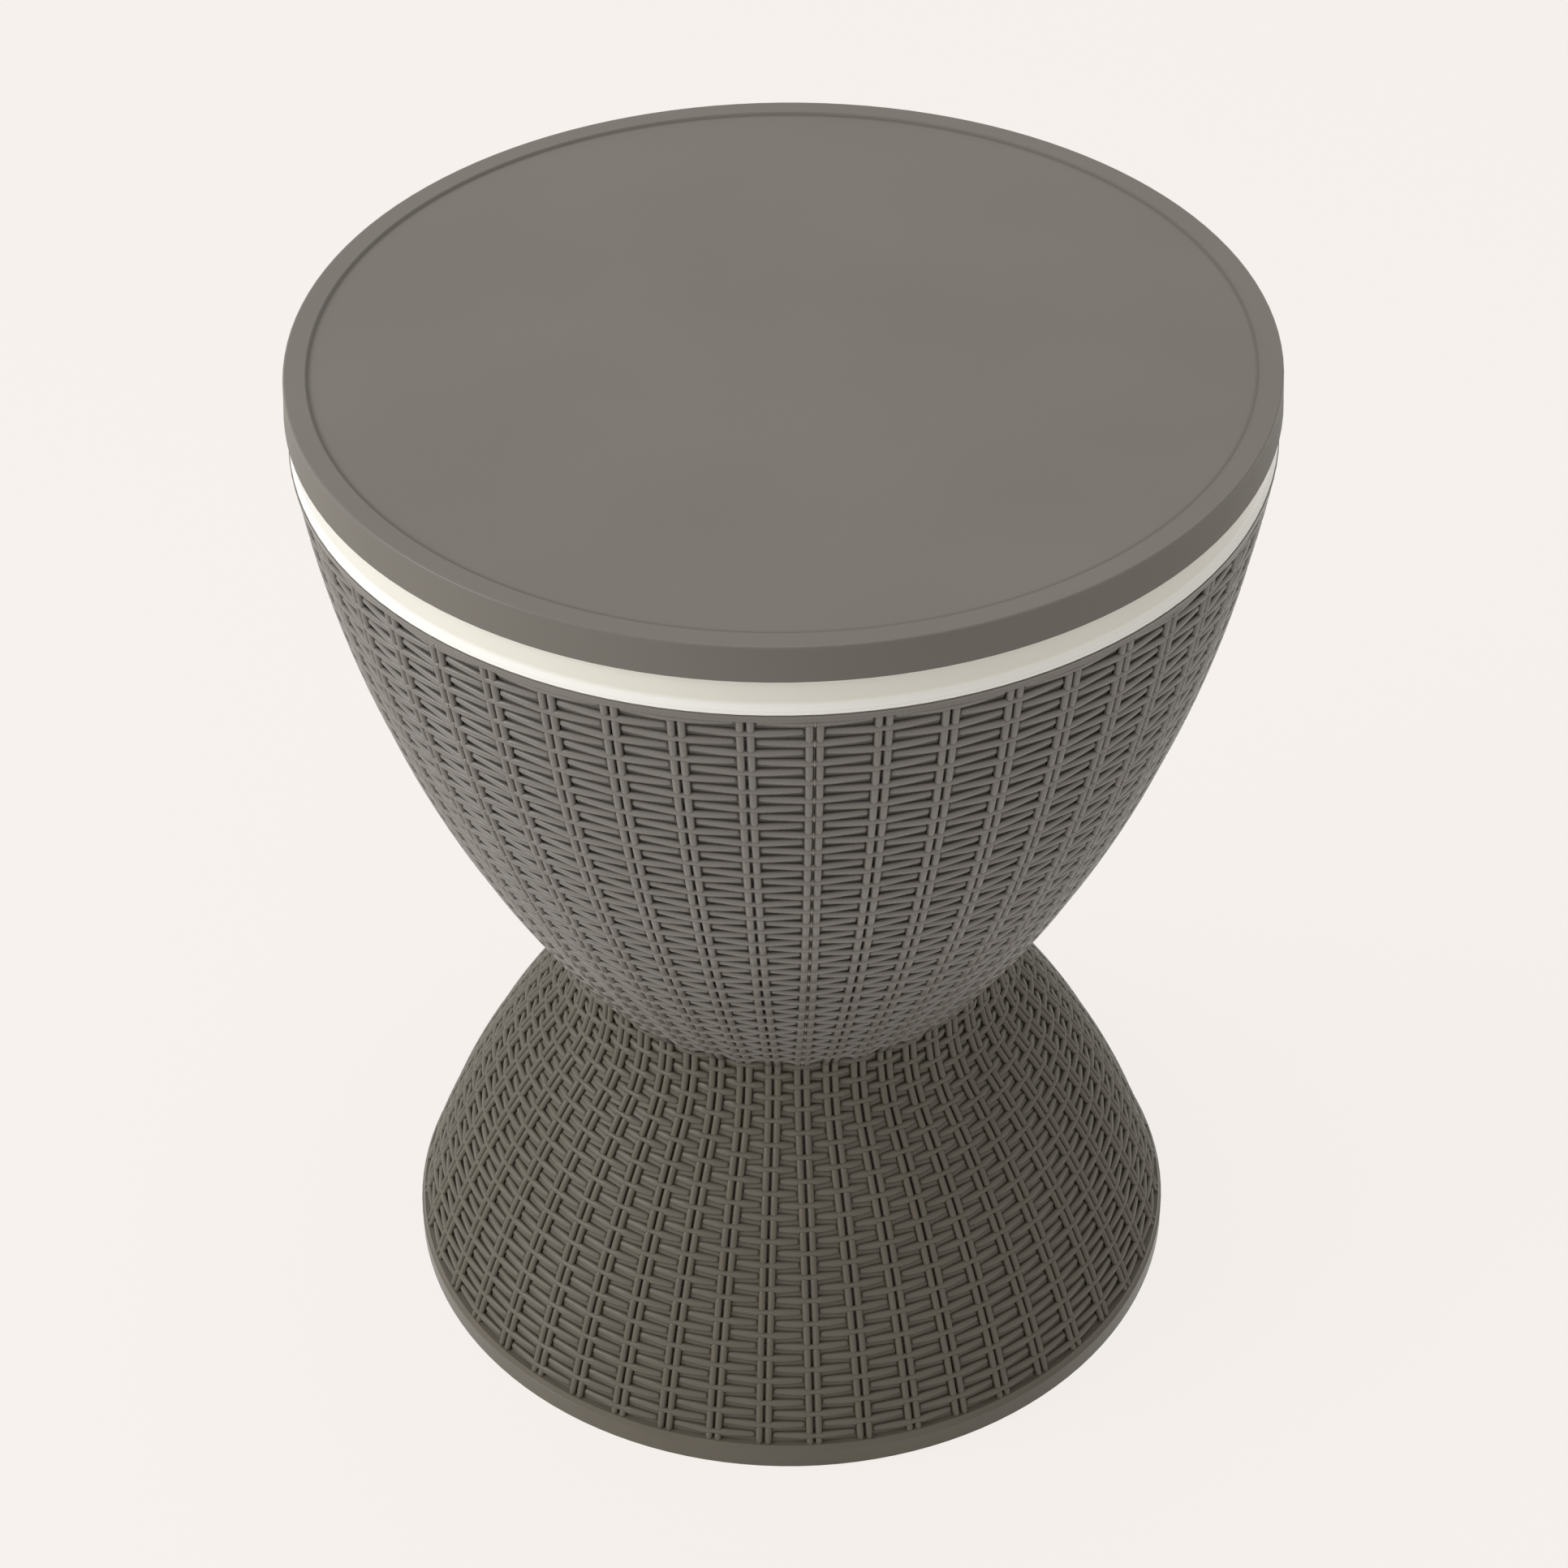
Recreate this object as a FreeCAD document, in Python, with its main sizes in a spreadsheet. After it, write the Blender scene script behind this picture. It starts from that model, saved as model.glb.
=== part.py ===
"""Round garden table whose top lifts on a telescoping column off a drinks cooler.

The table stands on +Z with its origin on the floor, on the column's axis. A bell-shaped base and a
bowl-shaped casing meet at a narrow waist. A white liner hangs in the casing and its rim shows as a
band under the table top. The top rises on a tube that slides and twists in a fixed outer tube.
"""
import FreeCAD, Part
import math
import os
import Sketcher
from FreeCAD import Placement, Rotation, Vector

SIZES = {
    # Table top
    "table_height": 580.0,        # floor to the top of the table's raised edge
    "table_radius": 247.5,        # at the top edge
    "table_plate": 3.0,           # thickness of the tray's plate
    "edge_width": 11.0,           # flat raised edge round the tray
    "edge_rise": 1.2,             # edge above the tray's middle
    "edge_step": 1.5,             # soft slope from the edge down to the middle
    "edge_round": 1.2,            # rounding where edge and skirt meet
    "skirt_depth": 19.0,          # table top to the skirt's lower edge
    "skirt_flare": 1.0,           # moulding draft of the skirt
    "skirt_wall": 2.2,
    "skirt_overlap": 2.5,         # skirt hangs this far below the bowl's rim
    "rib_wall": 1.6,              # ribs under the tray
    "rib_count": 12,
    "rib_ring_radius": 62.0,      # ring rib round the column's screws
    "post_radius": 4.5,           # screw posts under the tray
    "cover_plate": 3.0,
    "cover_gap": 0.3,             # cover's edge to the skirt
    "cover_ring_depth": 6.0,      # ring that centres the top in the bowl's mouth
    "cover_ring_wall": 2.5,
    "cover_screw_inset": 29.8,    # cover's screws inside the bowl's mouth
    "cover_screw_count": 6,
    # Bowl casing
    "waist_height": 206.0,
    "waist_radius": 119.1,
    "casing_overhang": 0.3,       # casing's top edge outside the table's top edge
    "casing_curve": 765.0,        # radius of the bowl's side, seen from the side
    "casing_wall": 3.0,
    "casing_floor": 5.0,
    "ledge_depth": 5.0,           # ledge inside the top edge
    "lip_height": 6.0,            # lip that centres the liner
    "lip_wall": 2.9,
    "lip_gap": 0.4,
    "gusset_wall": 2.5,
    "gusset_depth": 9.0,
    "gusset_height": 34.0,
    "gusset_count": 8,
    # Moulded weave on the bowl and on the bell
    "weave_depth": 1.6,           # woven fields lie this far behind the upright stakes
    "stake_width": 9.4,           # a stake is a pair of rods
    "stake_count": 48,
    "rail_depth": 4.2,            # plain rail at the casing's top edge
    "ridge_height": 3.0,          # plain ridge above the foot band
    "ridge_draft": 1.0,
    # White liner
    "air_gap": 10.4,              # still air between casing and liner
    "liner_wall": 3.0,
    "liner_floor_rise": 30.0,     # waist to the bowl's floor
    "floor_round": 12.0,
    "band_height": 19.8,          # visible white band, casing's top edge to the skirt's foot
    "band_wall": 2.2,
    "band_inset": 1.8,            # band inside the casing's edge
    "band_foot_flare": 1.2,       # band widens again at its foot
    "band_foot": 5.0,             # height of the widened foot
    "band_foot_edge": 1.0,        # upright edge at the foot
    "rim_gap": 1.1,               # rim inside the skirt
    "rim_shoulder": 0.8,          # slopes where the band turns into the rim
    "shoulder_drop": 0.4,         # lower slope ends this far below the skirt's edge
    "rim_round": 2.5,
    "chimney_foot_radius": 38.0,
    "chimney_top_radius": 34.0,
    "chimney_plate": 3.0,
    "chimney_edge": 1.5,          # sloped edges at the chimney's top and foot
    # Bell base
    "foot_radius": 214.8,
    "foot_band": 11.5,            # plain band at the floor
    "foot_step": 0.8,             # band stands proud of the bell
    "foot_flange": 10.0,          # flat ring that the table rests on
    "foot_flange_plate": 4.0,
    "neck_step": 0.6,             # bell's neck inside the bowl's waist
    "bell_curve": 502.0,          # radius of the bell's bulging side
    "throat_curve": 74.6,         # radius of the hollow curve below the waist
    "bell_wall": 3.5,
    "bell_rib_wall": 3.0,
    "bell_rib_depth": 12.0,
    "bell_rib_count": 8,
    "bell_rib_low": 24.0,         # ribs start above the floor
    "neck_plate": 6.0,
    # Column
    "tube_radius": 22.0,          # sliding tube
    "tube_wall": 1.5,
    "mast_radius": 25.0,          # fixed outer tube
    "mast_wall": 1.5,
    "mast_hole_gap": 0.6,
    "mast_tail": 28.0,            # outer tube below the lock when the top is down
    "key_width": 4.0,             # rib inside the outer tube
    "key_height": 1.0,
    "key_gap": 0.5,
    "slide_gap": 0.05,            # radial running clearance
    "seat_gap": 0.15,             # radial clearance of parts that don't move
    "hub_length": 39.5,
    "hub_wall": 7.0,
    "hub_web": 3.0,
    "hub_flange_radius": 58.0,
    "hub_flange_plate": 6.0,
    "hub_screw_ring": 48.0,
    "hub_screw_count": 4,
    "hub_rib_wall": 3.5,
    "hub_rib_count": 8,
    "hub_clearance": 6.0,         # hub above the collar when the top is down
    "collar_radius": 33.0,
    "collar_top_radius": 27.0,
    "collar_height": 16.5,        # collar above its seal
    "collar_edge": 4.5,           # straight edge below the collar's slope
    "collar_cup": 6.5,            # outer tube's depth in the collar
    "collar_length": 70.0,        # whole length of the guide bore
    "seal_plate": 1.5,
    "seal_width": 5.5,
    "lock_ring_length": 11.4,
    "lock_ring_play": 0.3,
    "lock_flange": 3.0,
    "lock_spigot": 28.0,
    "cam_radius": 17.8,
    "cam_offset": 1.2,            # how far the cam stands off the axis
    "cam_gap": 0.3,
    "socket_flange_radius": 48.0,
    "socket_flange_plate": 5.0,
    "socket_wall": 7.0,
    "socket_depth": 46.0,         # outer tube below the neck plate
    "socket_floor": 4.0,
    "socket_drip_radius": 6.0,
    "socket_rib_wall": 3.0,
    # Drain
    "drain_offset": 78.0,         # from the column's axis
    "drain_bore": 9.0,
    "drain_pipe_radius": 13.0,
    "drain_flange_radius": 19.0,
    "drain_flange_plate": 2.5,
    "drain_tail": 20.0,           # pipe below the neck plate
    "drain_hole_gap": 1.5,
    "drain_lead": 1.2,            # slope at the pipe's mouth
    "sump_radius": 21.0,
    "sump_depth": 4.0,
    "drain_nut_length": 9.0,
    "drain_nut_flats": 36.0,
    "plug_depth": 12.0,
    "plug_head_radius": 12.0,
    "plug_head_plate": 3.5,
    "plug_stem_radius": 4.0,
    "plug_stem": 6.5,
    "plug_knob_radius": 7.5,
    "plug_knob_plate": 6.0,
    "plug_gap": 0.3,
    "plug_taper": 0.3,
    "plug_edge": 1.2,             # sloped edges of the head and the knob
    # Fasteners
    "screw_radius": 2.0,
    "screw_head_radius": 4.0,
    "screw_head_plate": 2.4,
    "screw_gap": 0.15,
    "screw_relief": 1.5,          # screw's tip below the end of its hole
    "neck_screw_radius": 2.5,
    "neck_screw_head_radius": 4.8,
    "neck_screw_head_plate": 3.2,
    "neck_screw_ring": 40.0,
    "neck_screw_count": 6,
    "neck_post_radius": 6.0,
    "neck_post_height": 15.0,
    "neck_post_roof": 3.0,
    "liner_screw_ring": 85.0,
    "liner_screw_count": 4,
    "liner_post_radius": 6.5,
    "liner_screw_bite": 14.0,
    "mast_screw_count": 3,
    "mast_screw_height": 16.0,    # above the outer tube's lower end
    "mast_screw_sink": 0.6,       # flat seat cut in the socket's round side
    "mast_screw_relief": 0.3,     # tip short of the outer tube's bore
    "bolt_radius": 3.0,
    "bolt_gap": 0.2,
    "bolt_flats": 10.0,
    "bolt_head": 4.0,
    "bolt_drop": 25.5,            # bolt below the bowl's rim
    "nut_plate": 5.0,
    "bolt_tip": 2.0,
    "bolt_seat_radius": 7.5,
    "bolt_seat_depth": 1.5,
    "rivet_radius": 1.6,
    "rivet_rise": 13.0,           # rivets above the sliding tube's lower end
    # Ribs and cuts
    "rib_root": 1.0,              # ribs start this deep in the walls that carry them
    "rib_setback": 2.5,           # ribs end this far short of an edge
    "cut_past": 1.0,              # cuts run this far past the face that they open
}
DRAIN_TURN = 45.0                 # degrees round from +X, as the turns below
MAST_SCREW_TURN = 60.0            # clear of the key rib at +X
HUB_SCREW_TURN = 45.0             # clear of the cross bolt along X
HUB_RIB_TURN = 22.5               # ribs between the screws
NECK_RIB_TURN = 30.0              # ribs between the screws
STAKE_TURN = 2.95
BOTH_SIDES = 2                    # copies, at +X and -X

document = FreeCAD.newDocument("cooler_table")
sheet = document.addObject("Spreadsheet::Sheet", "sizes")
for row, (alias, number) in enumerate(SIZES.items(), start=1):
    sheet.set(f"A{row}", alias)
    sheet.set(f"B{row}", str(number))
    sheet.setAlias(f"B{row}", alias)
document.recompute()


class Size:
    """A length known both as a number and as a formula of the sheet's cells."""

    def __init__(self, value, formula):
        self.value = value
        self.formula = formula

    def _joined(self, other, sign, value):
        formula = other.formula if isinstance(other, Size) else repr(float(other))
        return Size(value, f"({self.formula} {sign} {formula})")

    def __add__(self, other):
        return self._joined(other, "+", self.value + number_of(other))

    def __sub__(self, other):
        return self._joined(other, "-", self.value - number_of(other))

    def __mul__(self, other):
        return self._joined(other, "*", self.value * number_of(other))

    def __truediv__(self, other):
        return self._joined(other, "/", self.value / number_of(other))


def number_of(length):
    """Plain number of a size or of a number."""
    return length.value if isinstance(length, Size) else float(length)


class Sheet:
    """Reads a cell of the sheet by its alias, as in cell.table_height."""

    def __getattr__(self, alias):
        return Size(float(SIZES[alias]), f"sizes.{alias}")


cell = Sheet()
NONE = cell.table_height * 0.0

# Levels and radii that several pieces share
skirt_foot = cell.table_height - cell.skirt_depth
rim_top = skirt_foot + cell.skirt_overlap
casing_radius = cell.table_radius + cell.casing_overhang
neck_radius = cell.waist_radius - cell.neck_step
casing_height = skirt_foot - cell.band_height
cover_top = rim_top + cell.cover_plate
tray_top = cell.table_height - cell.edge_rise
tray_under = tray_top - cell.table_plate
floor_top = cell.waist_height + cell.liner_floor_rise
floor_under = floor_top - cell.liner_wall
casing_floor_top = cell.waist_height + cell.casing_floor
neck_under = cell.waist_height - cell.neck_plate
casing_inset = cell.weave_depth + cell.casing_wall
bell_inset = cell.weave_depth + cell.bell_wall
stake_root = cell.weave_depth + cell.rib_root
ridge_top = cell.foot_band + cell.ridge_height
liner_inset = casing_inset + cell.air_gap + cell.liner_wall
band_radius = casing_radius - cell.band_inset
hub_top = rim_top
hub_foot = hub_top - cell.hub_length
hub_flange_under = hub_top - cell.hub_flange_plate
tube_top = hub_top - cell.hub_web
collar_top = hub_foot - cell.hub_clearance
collar_under = collar_top - cell.collar_height
collar_foot = collar_top - cell.collar_length
chimney_top = collar_under - cell.seal_plate
mast_top = collar_under + cell.collar_cup
mast_bore = cell.mast_radius - cell.mast_wall
mast_hole = cell.mast_radius + cell.mast_hole_gap
mast_foot = neck_under - cell.socket_depth
lock_foot = mast_foot + cell.mast_tail
cam_foot = lock_foot + cell.lock_flange
lock_ring_foot = cam_foot + cell.lock_ring_play
lock_ring_top = lock_ring_foot + cell.lock_ring_length      # the top rises until this meets collar_foot
cam_top = lock_ring_top + cell.lock_ring_play
tube_foot = cam_top + cell.lock_flange
socket_radius = cell.mast_radius + cell.socket_wall
hub_radius = cell.tube_radius + cell.hub_wall
bolt_level = rim_top - cell.bolt_drop
bolt_seat = hub_radius - cell.bolt_seat_depth
rivet_level = tube_foot + cell.rivet_rise
mast_screw_level = mast_foot + cell.mast_screw_height
sump_floor = floor_top - cell.sump_depth
sump_under = sump_floor - cell.liner_wall
drain_flange_under = floor_top - cell.drain_flange_plate
drain_foot = neck_under - cell.drain_tail
screw_hole = cell.screw_radius + cell.screw_gap
neck_screw_hole = cell.neck_screw_radius + cell.screw_gap
drain_hole = cell.drain_pipe_radius + cell.drain_hole_gap
rim_inner = casing_radius - liner_inset
cover_screw_ring = rim_inner - cell.cover_screw_inset
foot_top_radius = cell.foot_radius - cell.foot_step
flange_inner = cell.foot_radius - cell.foot_flange
socket_bore = cell.mast_radius + cell.seat_gap
key_slot = cell.key_width + cell.key_gap * 2
key_face = mast_bore - cell.key_height
tube_bore = cell.tube_radius - cell.tube_wall
rivet_hole = cell.rivet_radius + cell.seat_gap
bolt_hole = cell.bolt_radius + cell.bolt_gap
mast_screw_seat = socket_radius - cell.mast_screw_sink
past = cell.cut_past

parts = []


def new_part(label, turn=0.0):
    """A body of its own, turned about the column's axis."""
    body = document.addObject("PartDesign::Body", label)
    body.Label = label
    body.Placement = Placement(Vector(), Rotation(Vector(0, 0, 1), turn))
    parts.append(body)
    return body


def place_at(body, across, turn):
    """Moves a body's own axis out from the column's axis, in the direction of turn degrees."""
    body.setExpression("Placement.Base.x", (across * math.cos(math.radians(turn))).formula)
    body.setExpression("Placement.Base.y", (across * math.sin(math.radians(turn))).formula)


def origin_of(body, role):
    """The body's own plane or axis of that role."""
    return next(item for item in body.Origin.OriginFeatures if item.Role == role)


def new_sketch(body, role, across=None, up=None, out=None, turn=0.0):
    """A sketch on an origin plane: moved along its own x, lifted, moved out along +X, or turned
    about the upright axis."""
    sketch = body.newObject("Sketcher::SketchObject", "Outline")
    sketch.AttachmentSupport = [(origin_of(body, role), "")]
    sketch.MapMode = "FlatFace"
    level = role == "XY_Plane"
    upright = Vector(0, 0, 1) if level else Vector(0, 1, 0)
    sketch.AttachmentOffset = Placement(Vector(), Rotation(upright, turn))
    for move, direction in ((across, "x"), (up, "z" if level else "y"), (out, "z")):
        if move is not None:
            sketch.setExpression(f"AttachmentOffset.Base.{direction}", move.formula)
    return sketch


def hold(sketch, kind, *where, size):
    """Adds a sized constraint and binds it to the sheet."""
    index = sketch.addConstraint(Sketcher.Constraint(kind, *where, number_of(size)))
    sketch.setExpression(f"Constraints[{index}]", size.formula)


def hold_point(sketch, edge, end, across=None, up=None):
    """Holds one end of an edge by its distance from the sketch's origin, each way it is given."""
    if isinstance(across, Size):
        hold(sketch, "DistanceX", -1, 1, edge, end, size=across)
    if isinstance(up, Size):
        hold(sketch, "DistanceY", -1, 1, edge, end, size=up)


def arc_between(start, finish, centre):
    """The short arc from start to finish, and the numbers of its ends in that order."""
    radius = (start - centre).Length
    first = math.atan2(start.y - centre.y, start.x - centre.x)
    last = math.atan2(finish.y - centre.y, finish.x - centre.x)
    circle = Part.Circle(centre, Vector(0, 0, 1), radius)
    if (last - first) % math.tau < math.pi:
        return Part.ArcOfCircle(circle, first, last), (1, 2)
    return Part.ArcOfCircle(circle, last, first), (2, 1)


def arc_centre(start, finish, radius, left):
    """Centre of the short arc from start to finish, on the left of the way there or on the right."""
    chord = finish - start
    side = Vector(-chord.y, chord.x, 0).normalize()
    reach = math.sqrt(max(radius ** 2 - (chord.Length / 2) ** 2, 0))
    return start + chord * 0.5 + side * (reach if left else -reach)


def add_edge(sketch, start, finish, bend=()):
    """A line from start to finish, or an arc where bend is (radius, left), with its centre on the left
    of the way there or on the right. Returns its number and the numbers of its ends."""
    if not bend:
        return sketch.addGeometry(Part.LineSegment(start, finish)), (1, 2)
    radius, left = bend
    shape, ends = arc_between(start, finish, arc_centre(start, finish, number_of(radius), left))
    edge = sketch.addGeometry(shape)
    hold(sketch, "Radius", edge, size=radius)
    return edge, ends


def polygon(sketch, corners):
    """A closed outline through the corners. A corner is (across, up), and (across, up, radius, left)
    where an arc leads to it."""
    places = [Vector(number_of(corner[0]), number_of(corner[1]), 0) for corner in corners]
    edges = []
    for index, corner in enumerate(corners):
        edge, ends = add_edge(sketch, places[index - 1], places[index], corner[2:])
        hold_point(sketch, edge, ends[1], corner[0], corner[1])
        edges.append((edge, ends))
    for index, (edge, ends) in enumerate(edges):
        before, before_ends = edges[index - 1]
        sketch.addConstraint(Sketcher.Constraint("Coincident", before, before_ends[1], edge, ends[0]))


def circle(sketch, radius, across=NONE):
    """A circle with its centre on the sketch's x axis."""
    centre = Vector(number_of(across), 0, 0)
    edge = sketch.addGeometry(Part.Circle(centre, Vector(0, 0, 1), number_of(radius)))
    hold(sketch, "Radius", edge, size=radius)
    hold_point(sketch, edge, 3, across, NONE)


def hexagon(sketch, flats):
    """A hexagon of that size across its flats, with two corners on the sketch's x axis."""
    corner_radius = flats / math.sqrt(3)
    corners = [(math.cos(math.tau * step / 6), math.sin(math.tau * step / 6)) for step in range(6)]
    polygon(sketch, [(corner_radius * across, corner_radius * up) for across, up in corners])


def revolve(body, sketch, axis="V_Axis", remove=False):
    """Turns an outline once round an axis of its sketch."""
    feature = body.newObject("PartDesign::Groove" if remove else "PartDesign::Revolution", "Turned")
    feature.Profile = sketch
    feature.ReferenceAxis = (sketch, [axis])
    feature.Angle = 360.0
    return feature


def turned(body, corners):
    """A closed outline of radius and height turned round the body's upright axis."""
    sketch = new_sketch(body, "XZ_Plane")
    polygon(sketch, corners)
    return revolve(body, sketch)


def turned_ring(body, inner, outer, low, high):
    """A plain ring round the body's upright axis."""
    return turned(body, [(inner, low), (outer, low), (outer, high), (inner, high)])


def raise_outline(body, sketch, length, both_ways=False):
    """Pads an outline off its plane."""
    feature = body.newObject("PartDesign::Pad", "Raised")
    feature.Profile = sketch
    feature.setExpression("Length", length.formula)
    feature.Midplane = both_ways
    return feature


def cut_outline(body, sketch, depth, both_ways=False):
    """Cuts an outline downwards off its plane, or half the depth each way."""
    feature = body.newObject("PartDesign::Pocket", "Cut")
    feature.Profile = sketch
    feature.setExpression("Length", depth.formula)
    feature.Midplane = both_ways
    return feature


def repeat(body, feature, count):
    """Repeats a feature round the body's upright axis."""
    if count is None:
        return
    pattern = body.newObject("PartDesign::PolarPattern", "Repeated")
    pattern.Originals = [feature]
    pattern.Axis = (origin_of(body, "Z_Axis"), [""])
    pattern.Angle = 360.0
    if isinstance(count, Size):
        pattern.setExpression("Occurrences", count.formula)
    else:
        pattern.Occurrences = count
    body.Tip = pattern


def posts(body, radius, across, foot, height, count, turn=0.0):
    """Round posts in a ring, from their foot up."""
    sketch = new_sketch(body, "XY_Plane", up=foot, turn=turn)
    circle(sketch, radius, across)
    repeat(body, raise_outline(body, sketch, height), count)


def holes(body, radius, across, top, depth, count=None, turn=0.0):
    """Round holes in a ring, or one hole, from the top down."""
    sketch = new_sketch(body, "XY_Plane", up=top, turn=turn)
    circle(sketch, radius, across)
    repeat(body, cut_outline(body, sketch, depth), count)


def cross_holes(body, radius, start, finish, level, count, turn=0.0):
    """Round holes that lie level and point out from the axis."""
    sketch = new_sketch(body, "XZ_Plane", up=level, turn=turn)
    polygon(sketch, [(start, NONE), (finish, NONE), (finish, radius), (start, radius)])
    repeat(body, revolve(body, sketch, axis="H_Axis", remove=True), count)


def webs(body, corners, wall, count=None, turn=0.0):
    """Thin upright plates round the axis, each with the outline given."""
    sketch = new_sketch(body, "XZ_Plane", turn=turn)
    polygon(sketch, corners)
    repeat(body, raise_outline(body, sketch, wall, both_ways=True), count)


def slot(body, start, finish, low, high, width):
    """An upright slot on the +X side."""
    sketch = new_sketch(body, "XZ_Plane")
    polygon(sketch, [(start, low), (finish, low), (finish, high), (start, high)])
    cut_outline(body, sketch, width, both_ways=True)


def join(sketch, start, finish, corners):
    """Lines from one free end to another through the corners. An end is (edge, end, place)."""
    stops = [Vector(number_of(across), number_of(up), 0) for across, up in corners] + [finish[2]]
    edge, end, place = start
    for index, stop in enumerate(stops):
        line = sketch.addGeometry(Part.LineSegment(place, stop))
        sketch.addConstraint(Sketcher.Constraint("Coincident", edge, end, line, 1))
        if index < len(corners):
            hold_point(sketch, line, 2, *corners[index])
        edge, end, place = line, 2, stop
    sketch.addConstraint(Sketcher.Constraint("Coincident", edge, end, finish[0], finish[1]))


def side_stop(centre, radius, level, bend, way):
    """Where a bowl side of that radius stops at a level, with the centre and the far end of the
    rounding that leads on to the level line. Way is 1 at a floor and -1 at a rim."""
    reach = radius.value - way * bend.value
    up = level.value + way * bend.value
    middle = Vector(centre.x + math.sqrt(reach ** 2 - (up - centre.y) ** 2), up, 0)
    return centre + (middle - centre) * (radius.value / reach), middle, Vector(middle.x, level.value, 0)


def end_side(sketch, side, end, level, bend, stop):
    """Holds a side's end at its level, or rounds it into a level line there. Returns the free end."""
    place, middle, far = stop
    if not bend.value:
        hold_point(sketch, side, end, up=level)
        return side, end, place
    shape, ends = arc_between(place, far, middle)
    rounding = sketch.addGeometry(shape)
    hold(sketch, "Radius", rounding, size=bend)
    sketch.addConstraint(Sketcher.Constraint("Tangent", side, end, rounding, ends[0]))
    sketch.addConstraint(Sketcher.Constraint("Vertical", rounding, 3, rounding, ends[1]))
    hold_point(sketch, rounding, ends[1], up=level)
    return rounding, ends[1], far


def bowl_outline(sketch, outer, inner, over=(), under=()):
    """An outline between two lines that follow the bowl's side. Each line is (inset, low, high), and
    (inset, low, high, low bend, high bend) where its ends are rounded into level lines. Over and
    under are the corners that join the outer line's ends to the inner line's."""
    foot = Vector(SIZES["waist_radius"], SIZES["waist_height"], 0)
    edge = Vector(casing_radius.value, casing_height.value, 0)
    centre = arc_centre(foot, edge, SIZES["casing_curve"], True)
    shape, ends = arc_between(foot, edge, centre)
    guide = sketch.addGeometry(shape, True)
    hold(sketch, "Radius", guide, size=cell.casing_curve)
    hold_point(sketch, guide, ends[0], cell.waist_radius, cell.waist_height)
    hold_point(sketch, guide, ends[1], casing_radius, casing_height)
    lows, highs = [], []
    for inset, low, high, *bends in (outer, inner):
        low_bend, high_bend = bends or (NONE, NONE)
        radius = cell.casing_curve - inset
        halfway = (low + high) / 2
        low_stop = side_stop(centre, radius, low, low_bend, 1)
        high_stop = side_stop(centre, radius, high, high_bend, -1)
        turn = side_stop(centre, radius, halfway, NONE, 1)[0]
        lower_shape, lower_ends = arc_between(low_stop[0], turn, centre)
        upper_shape, upper_ends = arc_between(turn, high_stop[0], centre)
        lower, upper = sketch.addGeometry(lower_shape), sketch.addGeometry(upper_shape)
        for side in (lower, upper):
            sketch.addConstraint(Sketcher.Constraint("Coincident", side, 3, guide, 3))
        hold(sketch, "Radius", lower, size=radius)
        hold_point(sketch, lower, lower_ends[1], up=halfway)
        sketch.addConstraint(Sketcher.Constraint("Coincident", lower, lower_ends[1], upper, upper_ends[0]))
        lows.append(end_side(sketch, lower, lower_ends[0], low, low_bend, low_stop))
        highs.append(end_side(sketch, upper, upper_ends[1], high, high_bend, high_stop))
    join(sketch, *highs, over)
    join(sketch, *lows, under)


def bell_centres():
    """Centres of the bell's bulging side and of the hollow throat that it runs smoothly into."""
    throat = Vector(neck_radius.value + SIZES["throat_curve"], SIZES["waist_height"], 0)
    foot = Vector(foot_top_radius.value, SIZES["foot_band"], 0)
    apart = (throat - foot).Length
    reach = SIZES["bell_curve"] + SIZES["throat_curve"]
    along = (SIZES["bell_curve"] ** 2 - reach ** 2 + apart ** 2) / (2 * apart)
    aside = math.sqrt(SIZES["bell_curve"] ** 2 - along ** 2)
    way = (throat - foot).normalize()
    return foot + way * along + Vector(-way.y, way.x, 0) * aside, throat


def bell_line(sketch, inset, low, high, guides=()):
    """Two arcs, tangent to each other, that follow the bell's side at an inset. Without guides they
    are the guides themselves. Returns both arcs and both free ends."""
    bell, throat = bell_centres()
    bell_radius = cell.bell_curve - inset
    throat_radius = cell.throat_curve + inset
    middle = bell + (throat - bell).normalize() * bell_radius.value
    bell_reach = math.sqrt(bell_radius.value ** 2 - (low.value - bell.y) ** 2)
    throat_reach = math.sqrt(throat_radius.value ** 2 - (high.value - throat.y) ** 2)
    low_place = Vector(bell.x + bell_reach, low.value, 0)
    high_place = Vector(throat.x - throat_reach, high.value, 0)
    shape, ends = arc_between(low_place, middle, bell)
    lower = sketch.addGeometry(shape, not guides)
    shape, throat_ends = arc_between(middle, high_place, throat)
    upper = sketch.addGeometry(shape, not guides)
    hold(sketch, "Radius", lower, size=bell_radius)
    sketch.addConstraint(Sketcher.Constraint("Tangent", lower, ends[1], upper, throat_ends[0]))
    if guides:
        sketch.addConstraint(Sketcher.Constraint("Coincident", lower, 3, guides[0], 3))
        sketch.addConstraint(Sketcher.Constraint("Coincident", upper, 3, guides[1], 3))
        hold_point(sketch, lower, ends[0], up=low)
        hold_point(sketch, upper, throat_ends[1], up=high)
    else:
        hold(sketch, "Radius", upper, size=throat_radius)
        hold_point(sketch, upper, 3, up=cell.waist_height)
        hold_point(sketch, lower, ends[0], foot_top_radius, low)
        hold_point(sketch, upper, throat_ends[1], neck_radius, high)
    return (lower, upper), (lower, ends[0], low_place), (upper, throat_ends[1], high_place)


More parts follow.
